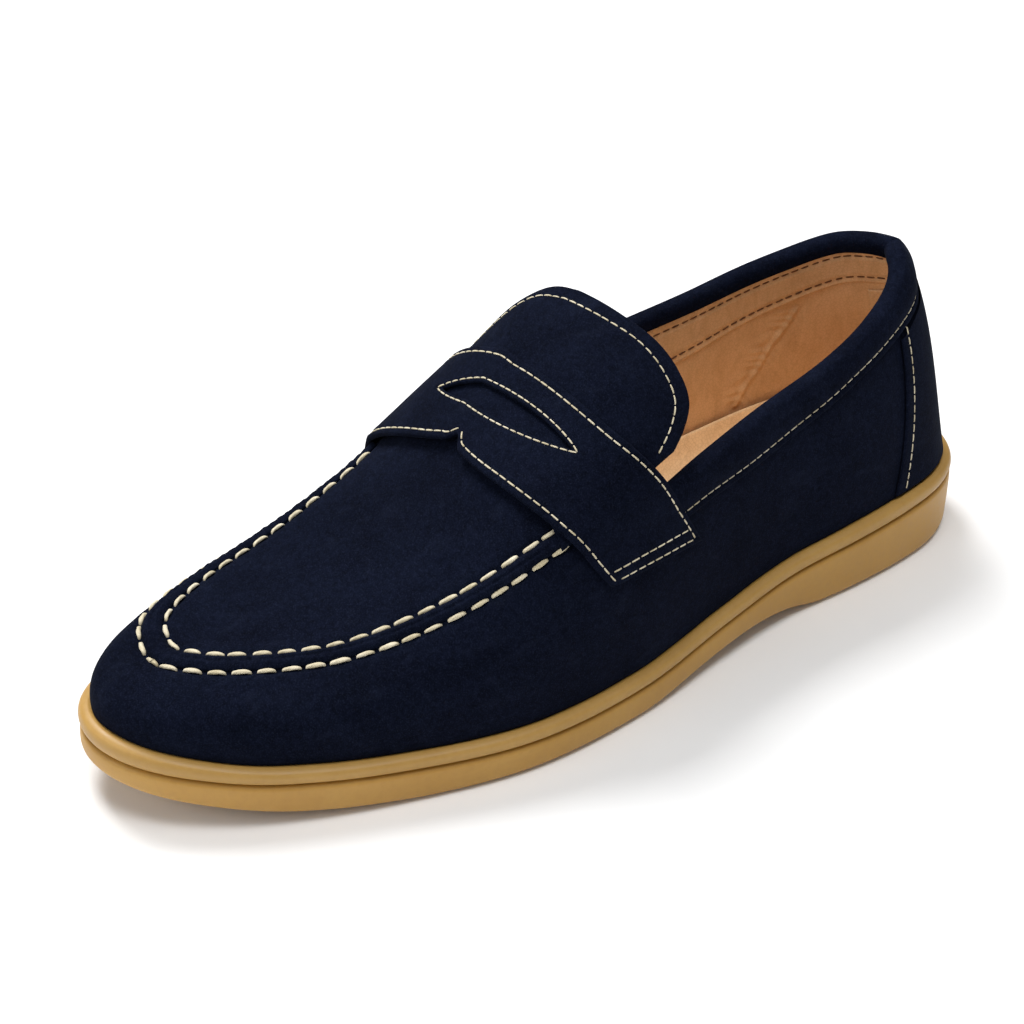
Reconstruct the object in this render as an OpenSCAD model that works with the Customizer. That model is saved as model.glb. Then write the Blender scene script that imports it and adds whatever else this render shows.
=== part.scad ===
// Penny loafer, left foot: suede moccasin-toe upper, saddle strap, leather lining and rubber cup sole.
// Origin: floor under the middle of the sole. Toe at -Y, heel at +Y, outer side at +X, Z up. Units mm.

/* [Size] */
// Outsole length from toe tip to heel
sole_length = 300; // [250:1:330]
// Width of the whole shoe against the standard fit
width_scale = 1; // [0.92:0.01:1.08]

/* [Sole] */
// How far the foot of the upper sits in from the sole edge
feather_inset = 4.5; // [3.5:0.1:6]
// Depth of the groove that runs round the sole wall
groove_inset = 1.8; // [1:0.1:2.6]
// Thickness of the flat tread plates
tread_thick = 1.5; // [1:0.1:1.6]
// Points round each ring of the sole
ring_points = 84; // [48:4:120]

/* [Upper] */
// Suede thickness
suede = 1.4; // [1:0.1:1.4]
// Depth of the layer that holds stiffeners and padding
stiff_face = 1.5; // [1.5:0.1:1.6]
// Inner face of the stiffeners and padding
stiff_back = 2.7; // [2.4:0.1:2.7]
// Face of the lining that touches the stiffeners
lining_face = 2.8; // [2.8:0.1:3]
// Face of the lining that touches the foot
lining_back = 4; // [3.8:0.1:4.4]
// Height of the padded roll on the topline
roll_height = 3.2; // [2:0.1:4]

/* [Apron seam] */
// Half width of the raised moccasin seam
ridge_half = 3.2; // [2:0.1:4]
// Height of the raised moccasin seam
ridge_height = 1.9; // [1:0.1:3]
// Distance from the seam centre to each row of hand stitches at the toe
stitch_row = 4; // [3.6:0.1:5.5]
// Pitch of the hand stitches
hand_pitch = 6.5; // [5:0.1:9]
// Radius of the hand stitching thread
hand_radius = 0.55; // [0.4:0.05:0.8]

/* [Strap and tongue] */
// Underside of the strap where it crosses the tongue
strap_lift = 1.8; // [1.7:0.1:2.4]
// Strap thickness
strap_thick = 1.8; // [1.4:0.1:2.4]
// Half length of the slot in the strap, as a share of the half girth
slot_half = 0.2125; // [0.15:0.0025:0.3]
// Half opening of the slot at its middle
slot_open = 3.4; // [1:0.1:4]

/* [Stitching] */
// Pitch of the machine stitches
fine_pitch = 4.2; // [3:0.1:6]
// Radius of the machine stitching thread
fine_radius = 0.35; // [0.25:0.05:0.5]

/* [Node] */
// Which piece to draw

/* [Hidden] */

NAVY = [0.07, 0.10, 0.17];
TAN = [0.76, 0.53, 0.32];
PALE_TAN = [0.86, 0.67, 0.43];
GUM = [0.70, 0.55, 0.32];
GUM_DARK = [0.64, 0.48, 0.26];
CREAM = [0.87, 0.83, 0.70];
FOAM = [0.88, 0.86, 0.80];
BOARD = [0.62, 0.55, 0.44];
STEEL = [0.62, 0.64, 0.66];

standard_length = 300;
length_scale = sole_length / standard_length;
half_length = sole_length / 2;
air = 0.1;
// The last swings inwards, so everything is moved sideways to stand over the middle of the floor print.
side_shift = 6.54;

// Outline of the sole: half width over sine of the angle, by angle from the toe.
outer_width = [[0, 60], [20, 62.5], [40, 65], [60, 63], [75, 62], [90, 55.5], [103, 47.5],
  [115, 43.5], [127, 46.5], [140, 52], [152, 59], [165, 65], [180, 65]];
inner_width = [[0, 60], [20, 51], [40, 46], [60, 46.5], [75, 46], [90, 38.5], [103, 34], [115, 35],
  [127, 41.5], [140, 49.5], [152, 57.5], [165, 64], [180, 65]];

// How far the toe cap swings outwards, by distance back from the middle of the shoe.
toe_swing = [[-150, 6], [-140, 4.5], [-125, 2], [-105, 0.3], [-90, 0]];

// Heights along the sole, by distance back from the middle of the shoe.
bottom_z = [[-150, 12], [-130, 7.5], [-105, 3], [-75, 0.3], [-60, 0], [0, 0], [25, 2.5],
  [45, 4], [62, 3], [78, 0], [130, 0], [150, 2.5]];
groove_z = [[-150, 19.5], [-110, 13.5], [-60, 10], [0, 9.5], [40, 12.8], [75, 16.5],
  [110, 19], [150, 21]];
top_z = [[-150, 26], [-110, 18.5], [-60, 15], [0, 14.5], [40, 18], [75, 22], [110, 25],
  [150, 26]];

// The ridge line of the last: where each rib ends, its side shift and its height.
rib_end = [[-150, -98], [-125, -92], [-90, -74], [-50, -44], [0, 0], [50, 44], [100, 74],
  [130, 82], [150, 84]];
ridge_x = [[-100, 3], [-60, 1], [-25, -4], [0, -9], [45, -12], [85, -13]];
ridge_z = [[-100, 39], [-75, 44], [-50, 58], [-25, 79], [-8, 91], [3, 99], [14, 102.8],
  [28, 103.2], [50, 105], [84, 109]];

// Shape of the ribs by angle: upright start, side swell and breadth of the crown.
rise_outer = [[0, 16], [30, 18], [60, 26], [90, 42], [120, 50], [150, 54], [180, 54]];
rise_inner = [[0, 16], [20, 20], [40, 25], [60, 32], [75, 38], [84, 46], [92, 68], [100, 76],
  [112, 74], [130, 60], [150, 54], [180, 54]];
rib_swell = [[0, 0.5], [40, 3], [70, 4], [100, 3], [128, 1.5], [150, -8.4], [165, -13.6],
  [180, -15]];
crown_outer = [[0, 0.58], [40, 0.6], [70, 0.74], [88, 0.88], [105, 0.76], [130, 0.52], [160, 0.76],
  [180, 0.92]];
crown_inner = [[0, 0.58], [20, 0.68], [40, 0.78], [60, 0.88], [75, 0.96], [88, 1.1], [105, 1.04],
  [130, 0.82], [160, 0.78], [180, 0.92]];

// Topline heights along the shoe, outer and inner side, and the drop to the band's lower edge.
topline_outer = [[-10, 65], [30, 71.3], [65, 76.7], [95, 83.4], [120, 90.7], [139, 98]];
topline_inner = [[-10, 68], [30, 78.6], [65, 85.2], [95, 90.7], [120, 96], [139, 98]];
band_drop = [[-10, 10], [25, 11.1], [50, 12.5], [75, 11.2], [100, 9.9], [125, 10.5], [139, 12]];
topline_shift = 8;

// Apron seam: share of the rib where it runs, by angle.
seam_outer = [[0, 0.645], [16, 0.68], [34, 0.664], [52, 0.617], [68, 0.568], [82, 0.529],
  [90, 0.508]];
seam_inner = [[0, 0.645], [15, 0.62], [30, 0.535], [47, 0.485], [62, 0.515], [73, 0.565],
  [82, 0.57], [90, 0.55]];

// Strap and tongue outlines by distance from their own centre line.
strap_front = [[0, 77.3], [0.035, 76], [0.2, 76], [0.4, 77], [0.5, 77.8], [0.64, 79], [0.7, 80]];
strap_rear = [[0, 86.6], [0.28, 87.5], [0.45, 89.6], [0.7, 93.4]];
tongue_rear = [[-0.47, 87], [-0.4, 88.6], [-0.31, 91.2], [-0.2, 94.6], [-0.05, 96.4], [0.08, 98.2],
  [0.2, 100.2], [0.3, 101], [0.38, 100.8], [0.43, 99], [0.47, 96]];
strap_side = 0.68;
strap_shift = 0.04;
strap_skew = 9;
strap_tilt = 0.1;
tongue_skew = 3;
slot_skew = 13.1;
slot_bow = 0.6;
slot_mid = 0.0425;
slot_angle = 82.23;
apron_end = 88;
// Angles where the raised seam runs in under the strap, inner and outer side.
seam_ends = [-73.2, 81.2];
strip_drop = 0.15;
backstay_foot = 137;
backstay_lean = 17.5;

function slope(t, i) =
  let (a = max(i - 1, 0), b = min(i + 1, len(t) - 1))
  (t[b][1] - t[a][1]) / (t[b][0] - t[a][0]);
function span(t, x, i = 1) = (i >= len(t) - 1 || x < t[i][0]) ? i - 1 : span(t, x, i + 1);
// Smooth value of an outline table.
function curve(t, at) =
  let (
    x = min(max(at, t[0][0]), t[len(t) - 1][0]),
    i = span(t, x),
    h = t[i + 1][0] - t[i][0],
    q = (x - t[i][0]) / h,
    q2 = q * q,
    q3 = q2 * q
  )
  (2 * q3 - 3 * q2 + 1) * t[i][1] + (q3 - 2 * q2 + q) * h * slope(t, i)
    + (3 * q2 - 2 * q3) * t[i + 1][1] + (q3 - q2) * h * slope(t, i + 1);
function wrap(s) = s > 180 ? s - 360 : s <= -180 ? s + 360 : s;
function unit(v) = v / norm(v);
function mix(a, b, f) = a + (b - a) * f;

// Sole outline point and its outward direction.
function rough(s) =
  let (w = s >= 0 ? curve(outer_width, s) : curve(inner_width, -s), y = -standard_length / 2 * cos(s))
  [width_scale * (w * sin(s) + curve(toe_swing, y) - side_shift), y * length_scale];
function outward(s) =
  let (d = rough(wrap(s + 0.5)) - rough(wrap(s - 0.5)), n = norm(d))
  [d[1] / n, -d[0] / n];
function edge(s, inset) = rough(s) - inset * outward(s);
function along(s) = rough(s)[1] / length_scale;
function low(s) = max(curve(bottom_z, along(s)), 0);
function groove(s) = curve(groove_z, along(s));
function top(s) = curve(top_z, along(s));

// Point of the last on rib s at share v of the way up.
function last(s, v) =
  let (
    p = abs(s),
    n = outward(s),
    f = rough(s) - feather_inset * n,
    z = top(s) - 0.5,
    yr = curve(rib_end, along(s)),
    xr = width_scale * (curve(ridge_x, yr) - side_shift),
    zr = curve(ridge_z, yr),
    rise_slope = curve(ridge_z, yr + 0.5) - curve(ridge_z, yr - 0.5),
    side_slope = curve(ridge_x, yr + 0.5) - curve(ridge_x, yr - 0.5),
    k = s >= 0 ? curve(crown_outer, p) : curve(crown_inner, p),
    b = curve(rib_swell, p),
    r = [xr, yr * length_scale, zr],
    dx = f[0] - r[0],
    dy = f[1] - r[1],
    p0 = [f[0], f[1], z],
    p1 = [f[0] + b * n[0], f[1] + b * n[1], z + curve(s >= 0 ? rise_outer : rise_inner, p)],
    p2 = [r[0] + k * (dx + dy * side_slope), r[1] + k * dy, r[2] + k * dy * rise_slope],
    u = 1 - v
  )
  p0 * u * u * u + p1 * 3 * v * u * u + p2 * 3 * v * v * u + r * v * v * v;
function normal(s, v) =
  let (
    a = abs(s) < 1 ? 1 : s,
    b = min(max(v, 0.01), 0.985)
  )
  unit(cross(last(wrap(a + 0.4), b) - last(wrap(a - 0.4), b), last(a, b + 0.004) - last(a, b - 0.004)));
function skin_at(s, v, off) = last(s, v) + off * normal(s, v);
// Same surface addressed across the ridge: g runs from -1 (inner foot) over 0 to 1 (outer foot).
function over(phi, g, off) = skin_at(g < 0 ? -phi : phi, min(1 - abs(g), 1), off);

// Share of the rib that reaches a height.
function reach(s, z, lo = 0.02, hi = 0.9, n = 13) =
  let (m = (lo + hi) / 2)
  n == 0 ? m : last(s, m)[2] < z ? reach(s, z, m, hi, n - 1) : reach(s, z, lo, m, n - 1);
function topline_z(s) = curve(s >= 0 ? topline_outer : topline_inner, along(s) - topline_shift);
function band_z(s) = topline_z(s) - curve(band_drop, along(s));
rim_step = 4;
edge_outer = [for (p = [86:rim_step:182]) [p, reach(min(p, 180), topline_z(min(p, 180)) - roll_height)]];
edge_inner = [for (p = [86:rim_step:182]) [p, reach(-min(p, 179.9), topline_z(-min(p, 179.9)) - roll_height)]];
low_outer = [for (p = [86:rim_step:182]) [p, reach(min(p, 180), band_z(min(p, 180)))]];
low_inner = [for (p = [86:rim_step:182]) [p, reach(-min(p, 179.9), band_z(-min(p, 179.9)))]];
function edge_v(s) = lookup(abs(s), s >= 0 ? edge_outer : edge_inner);
function band_v(s) = lookup(abs(s), s >= 0 ? low_outer : low_inner);
// The seam narrows from the toe back along the sides.
function row_gap(s) = lookup(abs(s), [[0, 1], [25, 0.88], [50, 0.73], [85, 0.66]]);
function seam_v(s) = curve(s >= 0 ? seam_outer : seam_inner, abs(s));
// Top edge of the wrap: the apron seam in front, the topline behind.
function wrap_v(s) =
  abs(s) <= 84 ? seam_v(s) : abs(s) >= 92 ? edge_v(s)
    : mix(seam_v(s), edge_v(max(abs(s), 86) * sign(s)), (abs(s) - 84) / 8);

// Strap and tongue outlines, by distance h from the strap's own centre line.
function strap_phi(h, f) = mix(curve(strap_front, abs(h)), curve(strap_rear, abs(h)), f) + strap_skew * h;
function strap_under(h) = lookup(abs(h), [[0, strap_lift], [0.47, strap_lift], [0.57, air], [1, air]]);
// The ends of the strap are cut on a slant, longer at the rear.
function strap_reach(h, f) = h * (1 + strap_tilt * (f - 0.45));
function strap_point(h, f, up) =
  over(strap_phi(h, f), strap_reach(h, f) + strap_shift, strap_under(h) + up);
// Centre line of the slot, bowed towards the toe.
function slot_phi(h) =
  slot_angle + slot_skew * h - slot_bow * (1 - pow((h - slot_mid) / slot_half, 2));
function tongue_phi(h) = curve(tongue_rear, h);

function quad(a, b, c, d) = [[a, b, c], [a, c, d]];

// Solid between an outer and an inner grid of points; ring closes it round the shoe.
module shell(outer, inner, ring = false) {
  nu = len(outer);
  nv = len(outer[0]);
  back = nu * nv;
  cells = ring ? nu - 1 : nu - 2;
  function id(i, j) = (i % nu) * nv + j;
  polyhedron(
    points = concat([for (r = outer) each r], [for (r = inner) each r]),
    faces = concat(
      [for (i = [0:cells], j = [0:nv - 2])
        each quad(id(i, j), id(i, j + 1), id(i + 1, j + 1), id(i + 1, j))],
      [for (i = [0:cells], j = [0:nv - 2])
        each quad(back + id(i, j), back + id(i + 1, j), back + id(i + 1, j + 1), back + id(i, j + 1))],
      [for (i = [0:cells]) each quad(id(i, 0), id(i + 1, 0), back + id(i + 1, 0), back + id(i, 0))],
      [for (i = [0:cells])
        each quad(id(i, nv - 1), back + id(i, nv - 1), back + id(i + 1, nv - 1), id(i + 1, nv - 1))],
      ring ? [] : [for (j = [0:nv - 2]) each quad(id(0, j), back + id(0, j), back + id(0, j + 1), id(0, j + 1))],
      ring ? [] : [for (j = [0:nv - 2])
        each quad(id(nu - 1, j), id(nu - 1, j + 1), back + id(nu - 1, j + 1), back + id(nu - 1, j))]
    ),
    convexity = 10
  );
}

// Solid of stacked rings, lowest first, closed with flat ladders of faces.
module stack(rings) {
  n = len(rings[0]);
  m = len(rings);
  h = n / 2;
  base = (m - 1) * n;
  polyhedron(
    points = [for (r = rings) each r],
    faces = concat(
      [for (k = [0:m - 2], i = [0:n - 1])
        each quad(k * n + i, k * n + n + i, k * n + n + (i + 1) % n, k * n + (i + 1) % n)],
      [[0, 1, n - 1], [h - 1, h, h + 1]],
      [for (i = [1:h - 2]) each quad(i, i + 1, n - i - 1, n - i)],
      [[base, base + n - 1, base + 1], [base + h - 1, base + h + 1, base + h]],
      [for (i = [1:h - 2]) each quad(base + n - i, base + n - i - 1, base + i + 1, base + i)]
    ),
    convexity = 10
  );
}

// Solid swept through closed sections; ring joins the last section to the first.
module sweep(sections, ring = false) {
  n = len(sections);
  k = len(sections[0]);
  cells = ring ? n - 1 : n - 2;
  tail = (n - 1) * k;
  function id(i, j) = (i % n) * k + j % k;
  polyhedron(
    points = [for (r = sections) each r],
    faces = concat(
      [for (i = [0:cells], j = [0:k - 1]) each quad(id(i, j), id(i, j + 1), id(i + 1, j + 1), id(i + 1, j))],
      ring ? [] : [for (j = [1:k - 2]) [0, j + 1, j]],
      ring ? [] : [for (j = [1:k - 2]) [tail, tail + j, tail + j + 1]]
    ),
    convexity = 10
  );
}

// Dome over the toe: ribs from share start(s) up to the ridge, between two offsets.
module dome(reach_phi, ribs, rows, starts, face, back) {
  cols = 2 * ribs + 1;
  side = cols * rows;
  layer = side + ribs + 1;
  function ang(i) = reach_phi * (i - ribs) / ribs;
  function id(i, j) = j < rows ? i * rows + j : side + abs(i - ribs);
  function pts(off) = concat(
    [for (i = [0:cols - 1], j = [0:rows - 1]) skin_at(ang(i), mix(starts[i], 1, j / rows), off)],
    [for (i = [0:ribs]) skin_at(reach_phi * i / ribs, 1, off)]
  );
  polyhedron(
    points = concat(pts(face), pts(back)),
    faces = [for (t = concat(
        [for (i = [0:cols - 2], j = [0:rows - 1])
          each quad(id(i, j), id(i, j + 1), id(i + 1, j + 1), id(i + 1, j))],
        [for (i = [0:cols - 2], j = [0:rows - 1])
          each quad(layer + id(i, j), layer + id(i + 1, j), layer + id(i + 1, j + 1), layer + id(i, j + 1))],
        [for (i = [0:cols - 2]) each quad(id(i, 0), id(i + 1, 0), layer + id(i + 1, 0), layer + id(i, 0))],
        [for (j = [0:rows - 1])
          each quad(id(0, j), layer + id(0, j), layer + id(0, j + 1), id(0, j + 1))],
        [for (j = [0:rows - 1])
          each quad(id(cols - 1, j), id(cols - 1, j + 1), layer + id(cols - 1, j + 1), layer + id(cols - 1, j))]
      ))
      if (t[0] != t[1] && t[1] != t[2] && t[0] != t[2]) t],
    convexity = 10
  );
}

// Ring round the sole at one inset from its edge, with a list of heights.
function ring(inset, zs) =
  [for (i = [0:ring_points - 1])
    let (s = wrap(360 * i / ring_points), e = edge(s, inset)) [e[0], e[1], zs[i]]];
ring_s = [for (i = [0:ring_points - 1]) wrap(360 * i / ring_points)];
lows = [for (s = ring_s) low(s)];
grooves = [for (s = ring_s) groove(s)];
tops = [for (s = ring_s) top(s)];
function lift(zs, d) = [for (z = zs) z + d];
// The tread plates sit in shallow pockets under the ball and under the heel.
pocket = [[-150, 0.4], [-66, 0.4], [-61, 1.6], [1, 1.6], [8, 0.4], [70, 0.4], [77, 1.6],
  [131, 1.6], [138, 0.4], [150, 0.4]];
pockets = [for (i = [0:ring_points - 1]) lows[i] + lookup(along(ring_s[i]), pocket)];

module outsole() {
  color(GUM_DARK)
  stack([
    ring(7.6, pockets),
    ring(7.2, lows),
    ring(2.2, lows),
    ring(0.5, lift(lows, 1.2)),
    ring(0, lift(lows, 3)),
    ring(0.5, lift(grooves, -2.4)),
    ring(groove_inset, lift(grooves, -0.5)),
    ring(groove_inset + 2, lift(grooves, -air)),
    ring(8, lift(grooves, -air)),
    ring(8.6, lift(lows, 4))
  ]);
}

module sole_rim() {
  color(GUM)
  sweep([for (i = [0:ring_points - 1])
    let (
      s = ring_s[i],
      g = grooves[i],
      t = tops[i],
      sec = [[groove_inset + 0.4, g], [0.9, g + 0.9], [0.5, g + 2.4], [1, t - 1.5], [2.2, t - 0.5],
        [3.6, t - 0.3], [4.2, t - 0.7], [8.4, t - 0.7], [8.4, g]]
    )
    [for (c = sec) let (e = edge(s, c[0])) [e[0], e[1], c[1]]]], ring = true);
}

// Flat tread plate between two distances along the shoe, with cross grooves.
module tread(front, rear, bars) {
  a = acos(-front / standard_length * 2);
  b = acos(-rear / standard_length * 2);
  steps = 10;
  side = [for (i = [0:steps]) edge(mix(a, b, i / steps), 8.6)];
  other = [for (i = [0:steps]) edge(-mix(b, a, i / steps), 8.6)];
  difference() {
    linear_extrude(tread_thick) polygon(concat(side, other));
    for (y = bars)
      translate([-sole_length / 4, y * length_scale, -air])
        cube([sole_length / 2, 2, 0.8]);
  }
}

module forefoot_tread() {
  color(GUM_DARK) tread(-58, -2, [-52, -44, -36, -28, -20, -12]);
}

module heel_tread() {
  color(GUM_DARK) tread(81, 127, [88, 96, 104, 112, 120]);
}

module sole_filler() {
  color(FOAM)
  stack([
    ring(8.9, lift(lows, 4.2)),
    ring(8.9, lift(grooves, -0.4))
  ]);
}

// Steel spring under the arch.
module shank() {
  rows = 16;
  half = 7;
  thick = 1;
  function plan(i) =
    let (y = mix(-25, 95, i / rows), s = acos(-y / standard_length * 2), c = (rough(s) + rough(-s)) / 2)
    [c[0], y * length_scale, groove(s) - 0.2];
  color(STEEL)
  shell(
    [for (k = [0:1]) [for (i = [0:rows]) plan(i) + [half * (2 * k - 1), 0, thick]]],
    [for (k = [0:1]) [for (i = [0:rows]) plan(i) + [half * (2 * k - 1), 0, 0]]]
  );
}

module insole_board() {
  color(BOARD)
  stack([
    ring(8.6, lift(grooves, 1)),
    ring(8.6, lift(tops, -0.8))
  ]);
}

module footbed_foam() {
  color(FOAM)
  stack([
    ring(9.6, lift(tops, -0.7)),
    ring(9.6, lift(tops, 0.9))
  ]);
}

// Leather sock, cupped up round the heel and the arch.
cup = [[-110, 0.4], [-60, 2.5], [-10, 8], [30, 10.5], [110, 10], [150, 8]];
// The heel wall leans in, so the rim of the cup does too.
function cup_lean(s) = lookup(abs(s), [[120, 0], [150, 2], [180, 2.6]]);
function cup_ring(inset, share, base) =
  [for (s = ring_s)
    let (e = edge(s, inset + share * cup_lean(s)))
    [e[0], e[1], top(s) + base + share * curve(cup, along(s))]];

module footbed() {
  color(PALE_TAN)
  stack([
    cup_ring(9.8, 0, 1),
    cup_ring(9.4, 0.5, 1.8),
    cup_ring(9.4, 1, 2.4),
    cup_ring(10.2, 1, 2.4),
    cup_ring(11.6, 0.66, 2.2),
    cup_ring(14, 0.3, 2.1),
    cup_ring(18, 0.08, 2),
    cup_ring(24, 0, 1.9)
  ]);
}

// Patch of the upper between two angles, each column from share lo to share hi.
module patch(angles, rows, lo, hi, face, back, ring = false) {
  function grid(off) =
    [for (i = [0:len(angles) - 1])
      [for (j = [0:rows]) skin_at(wrap(angles[i]), mix(lo[i], hi[i], j / rows), off)]];
  shell(grid(-face), grid(-back), ring);
}

module toe_puff() {
  angles = [for (a = [-60:6:60]) a];
  color(FOAM)
  patch(angles, 5, [for (a = angles) 0.05], [for (a = angles) seam_v(a) - 0.1], stiff_face, stiff_back);
}

module heel_counter() {
  angles = [for (a = [122:4:238]) a];
  color(BOARD)
  patch(angles, 5, [for (a = angles) 0.04], [for (a = angles) band_v(wrap(a)) - 0.05],
    stiff_face, stiff_back);
}

module collar_foam() {
  angles = [for (a = [98:4:262]) a];
  color(FOAM)
  patch(angles, 2, [for (a = angles) band_v(wrap(a)) - 0.03], [for (a = angles) edge_v(wrap(a)) - 0.01],
    stiff_face, stiff_back);
}

module upper_wrap() {
  angles = [for (a = [0:3.75:359]) a];
  color(NAVY)
  patch(angles, 9, [for (a = angles) 0], [for (a = angles) wrap_v(wrap(a))], 0, suede, ring = true);
}

// Gap between the wrap and the apron, as a share of the rib.
plug_gap = 0.006;
module apron_plug() {
  ribs = 24;
  color(NAVY)
  dome(apron_end, ribs, 7, [for (i = [0:2 * ribs]) seam_v(apron_end * (i - ribs) / ribs) + plug_gap],
    0, -suede);
}

// Point near the apron seam: b across it towards the sole, h above the leather.
function seam_at(s, b, h) =
  let (
    v = seam_v(s),
    c = last(s, v),
    n = normal(s, v),
    t = unit(last(wrap(s + 0.6), seam_v(s + 0.6)) - last(wrap(s - 0.6), seam_v(s - 0.6)))
  )
  c + n * h - cross(n, t) * b;

module moc_seam() {
  steps = 56;
  r = ridge_half;
  u = ridge_height;
  sec = [[r, 0.12], [0.75 * r, 0.6 * u], [0.3 * r, u], [-0.3 * r, u], [-0.75 * r, 0.6 * u], [-r, 0.12]];
  color(NAVY)
  sweep([for (i = [0:steps])
    let (s = mix(seam_ends[0], seam_ends[1], i / steps))
    [for (c = sec) seam_at(s, c[0] * row_gap(s), c[1])]]);
}

module tongue() {
  cols = 26;
  rows = 6;
  half = 0.46;
  front = 79.5;
  function grid(off) =
    [for (i = [0:cols])
      let (h = mix(-half, half, i / cols))
      [for (j = [0:rows])
        over(mix(front + tongue_skew * h, tongue_phi(h), j / rows), h + strap_shift, off)]];
  color(NAVY) shell(grid(1.6), grid(air));
}

module tongue_lining() {
  cols = 22;
  rows = 4;
  front = 88.4;
  function grid(off) =
    [for (i = [0:cols])
      let (h = mix(-0.26, 0.42, i / cols))
      [for (j = [0:rows])
        over(mix(front, tongue_phi(h) - 0.6, j / rows), h + strap_shift, off)]];
  color(TAN) shell(grid(0), grid(-1.2));
}

// Saddle strap with the narrow lens slot cut through it.
module saddle_strap() {
  cols = 46;
  rows = 5;
  function grid(up) =
    [for (i = [0:cols])
      let (h = mix(-strap_side, strap_side, i / cols))
      [for (j = [0:rows]) strap_point(h, j / rows, up)]];
  steps = 12;
  function lens(k, sgn) =
    let (
      h = slot_mid + slot_half * (2 * k / steps - 1),
      c = over(slot_phi(h), h + strap_shift, 0)
    )
    [c[0], c[1] + sgn * slot_open * (1 - pow(2 * k / steps - 1, 2))];
  color(NAVY)
  difference() {
    shell(grid(strap_thick), grid(0));
    translate([0, 0, ridge_z[3][1] - 20])
      linear_extrude(60)
        polygon(concat([for (k = [0:steps]) lens(k, -1)], [for (k = [steps - 1:-1:1]) lens(k, 1)]));
  }
}

collar_angles = [for (a = [96:4:268]) a];

module collar_band() {
  color(NAVY)
  patch(collar_angles, 2, [for (a = collar_angles) band_v(wrap(a))],
    [for (a = collar_angles) edge_v(wrap(a))], -1.2, -air);
}

// Rounded padded edge that closes over the suede and the lining.
module collar_roll() {
  u = roll_height;
  sec = [[1.3, 0.15], [1.2, 0.5 * u], [0.1, 0.85 * u], [-1.9, u], [-3.9, 0.85 * u], [-4.9, 0.5 * u], [-5, 0.15]];
  color(NAVY)
  sweep([for (a = collar_angles)
    let (
      s = wrap(a),
      v = edge_v(s),
      c = last(s, v),
      n = normal(s, v),
      t = unit(last(wrap(a + 1), edge_v(wrap(a + 1))) - last(wrap(a - 1), edge_v(wrap(a - 1)))),
      up = cross(n, t)
    )
    [for (q = sec) c + n * q[0] + up * q[1]]]);
}

module backstay() {
  cols = 16;
  rows = 6;
  function grid(off) =
    [for (i = [0:cols])
      [for (j = [0:rows])
        let (
          f = i / cols,
          side = wrap(backstay_foot + 2 * (180 - backstay_foot) * f),
          v = mix(0.015, band_v(side) - 0.02, j / rows),
          a = mix(backstay_foot + backstay_lean * v, 360 - backstay_foot - backstay_lean * v, f)
        )
        skin_at(wrap(a), v, off)]];
  color(NAVY) shell(grid(1.1), grid(air));
}

module vamp_lining() {
  ribs = 20;
  color(TAN)
  dome(87, ribs, 9, [for (i = [0:2 * ribs]) 0.03], -lining_face, -lining_back);
}

// Height share where the tan collar strip meets the quarter lining.
function strip_v(s) = max(edge_v(s) - strip_drop, 0.2);

module quarter_lining() {
  angles = [for (a = [89:4.55:271.1]) a];
  color(TAN)
  patch(angles, 6, [for (a = angles) 0.03], [for (a = angles) strip_v(wrap(a)) - 0.01],
    lining_face, lining_back);
}

module collar_lining() {
  angles = [for (a = [92:4:268]) a];
  color(TAN)
  patch(angles, 2, [for (a = angles) strip_v(wrap(a))], [for (a = angles) edge_v(wrap(a)) - 0.005],
    lining_face, lining_back);
}

module heel_grip() {
  angles = [for (a = [162:4:198]) a];
  color(PALE_TAN)
  patch(angles, 5, [for (a = angles) 0.24], [for (a = angles) edge_v(wrap(a)) - 0.02],
    lining_back + air, lining_back + 0.9);
}

// Round stitch from a to b.
module rod(a, b, r) {
  d = b - a;
  translate(a)
    rotate([0, acos(d[2] / norm(d)), atan2(d[1], d[0])])
      cylinder(h = norm(d), r = r, $fn = 24);
}

// Row of equal stitches along a path of points.
module stitches(path, pitch, share, r) {
  n = len(path);
  runs = [for (i = 0, a = 0; i < n; a = a + (i + 1 < n ? norm(path[i + 1] - path[i]) : 0), i = i + 1) a];
  total = runs[n - 1];
  count = floor(total / pitch);
  step = total / count;
  function place(a) = [for (c = [0:2]) lookup(a, [for (i = [0:n - 1]) [runs[i], path[i][c]]])];
  for (k = [0:count - 1])
    rod(place((k + 0.5 - share / 2) * step), place((k + 0.5 + share / 2) * step), r);
}

// Thick hand stitches along one side of the apron seam.
module hand_stitches(side) {
  path = [for (i = [0:70])
    let (s = mix(seam_ends[0], seam_ends[1], i / 70))
    seam_at(s, side * stitch_row * row_gap(s), hand_radius + 0.15)];
  stitches(path, hand_pitch, 0.66, hand_radius);
}

module apron_thread_inner() {
  color(CREAM)
  hand_stitches(-1);
}

module apron_thread_outer() {
  color(CREAM)
  hand_stitches(1);
}

strap_face = strap_thick + fine_radius + air;
module strap_edge_thread() {
  color(CREAM) {
    stitches([for (i = [0:50]) strap_point(mix(-0.66, 0.66, i / 50), 0.82, strap_face)],
      fine_pitch, 0.62, fine_radius);
    stitches([for (i = [0:24]) strap_point(mix(0.05, 0.66, i / 24), 0.14, strap_face)],
      fine_pitch, 0.62, fine_radius);
    stitches([for (i = [0:24]) strap_point(mix(-0.66, -0.05, i / 24), 0.14, strap_face)],
      fine_pitch, 0.62, fine_radius);
  }
}

module strap_end_thread() {
  color(CREAM)
  for (g = [-1, 1], h = [0.625, 0.655])
    stitches([for (i = [0:12]) strap_point(g * h, mix(0.18, 0.78, i / 12), strap_face)],
      fine_pitch, 0.62, fine_radius);
}

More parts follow.
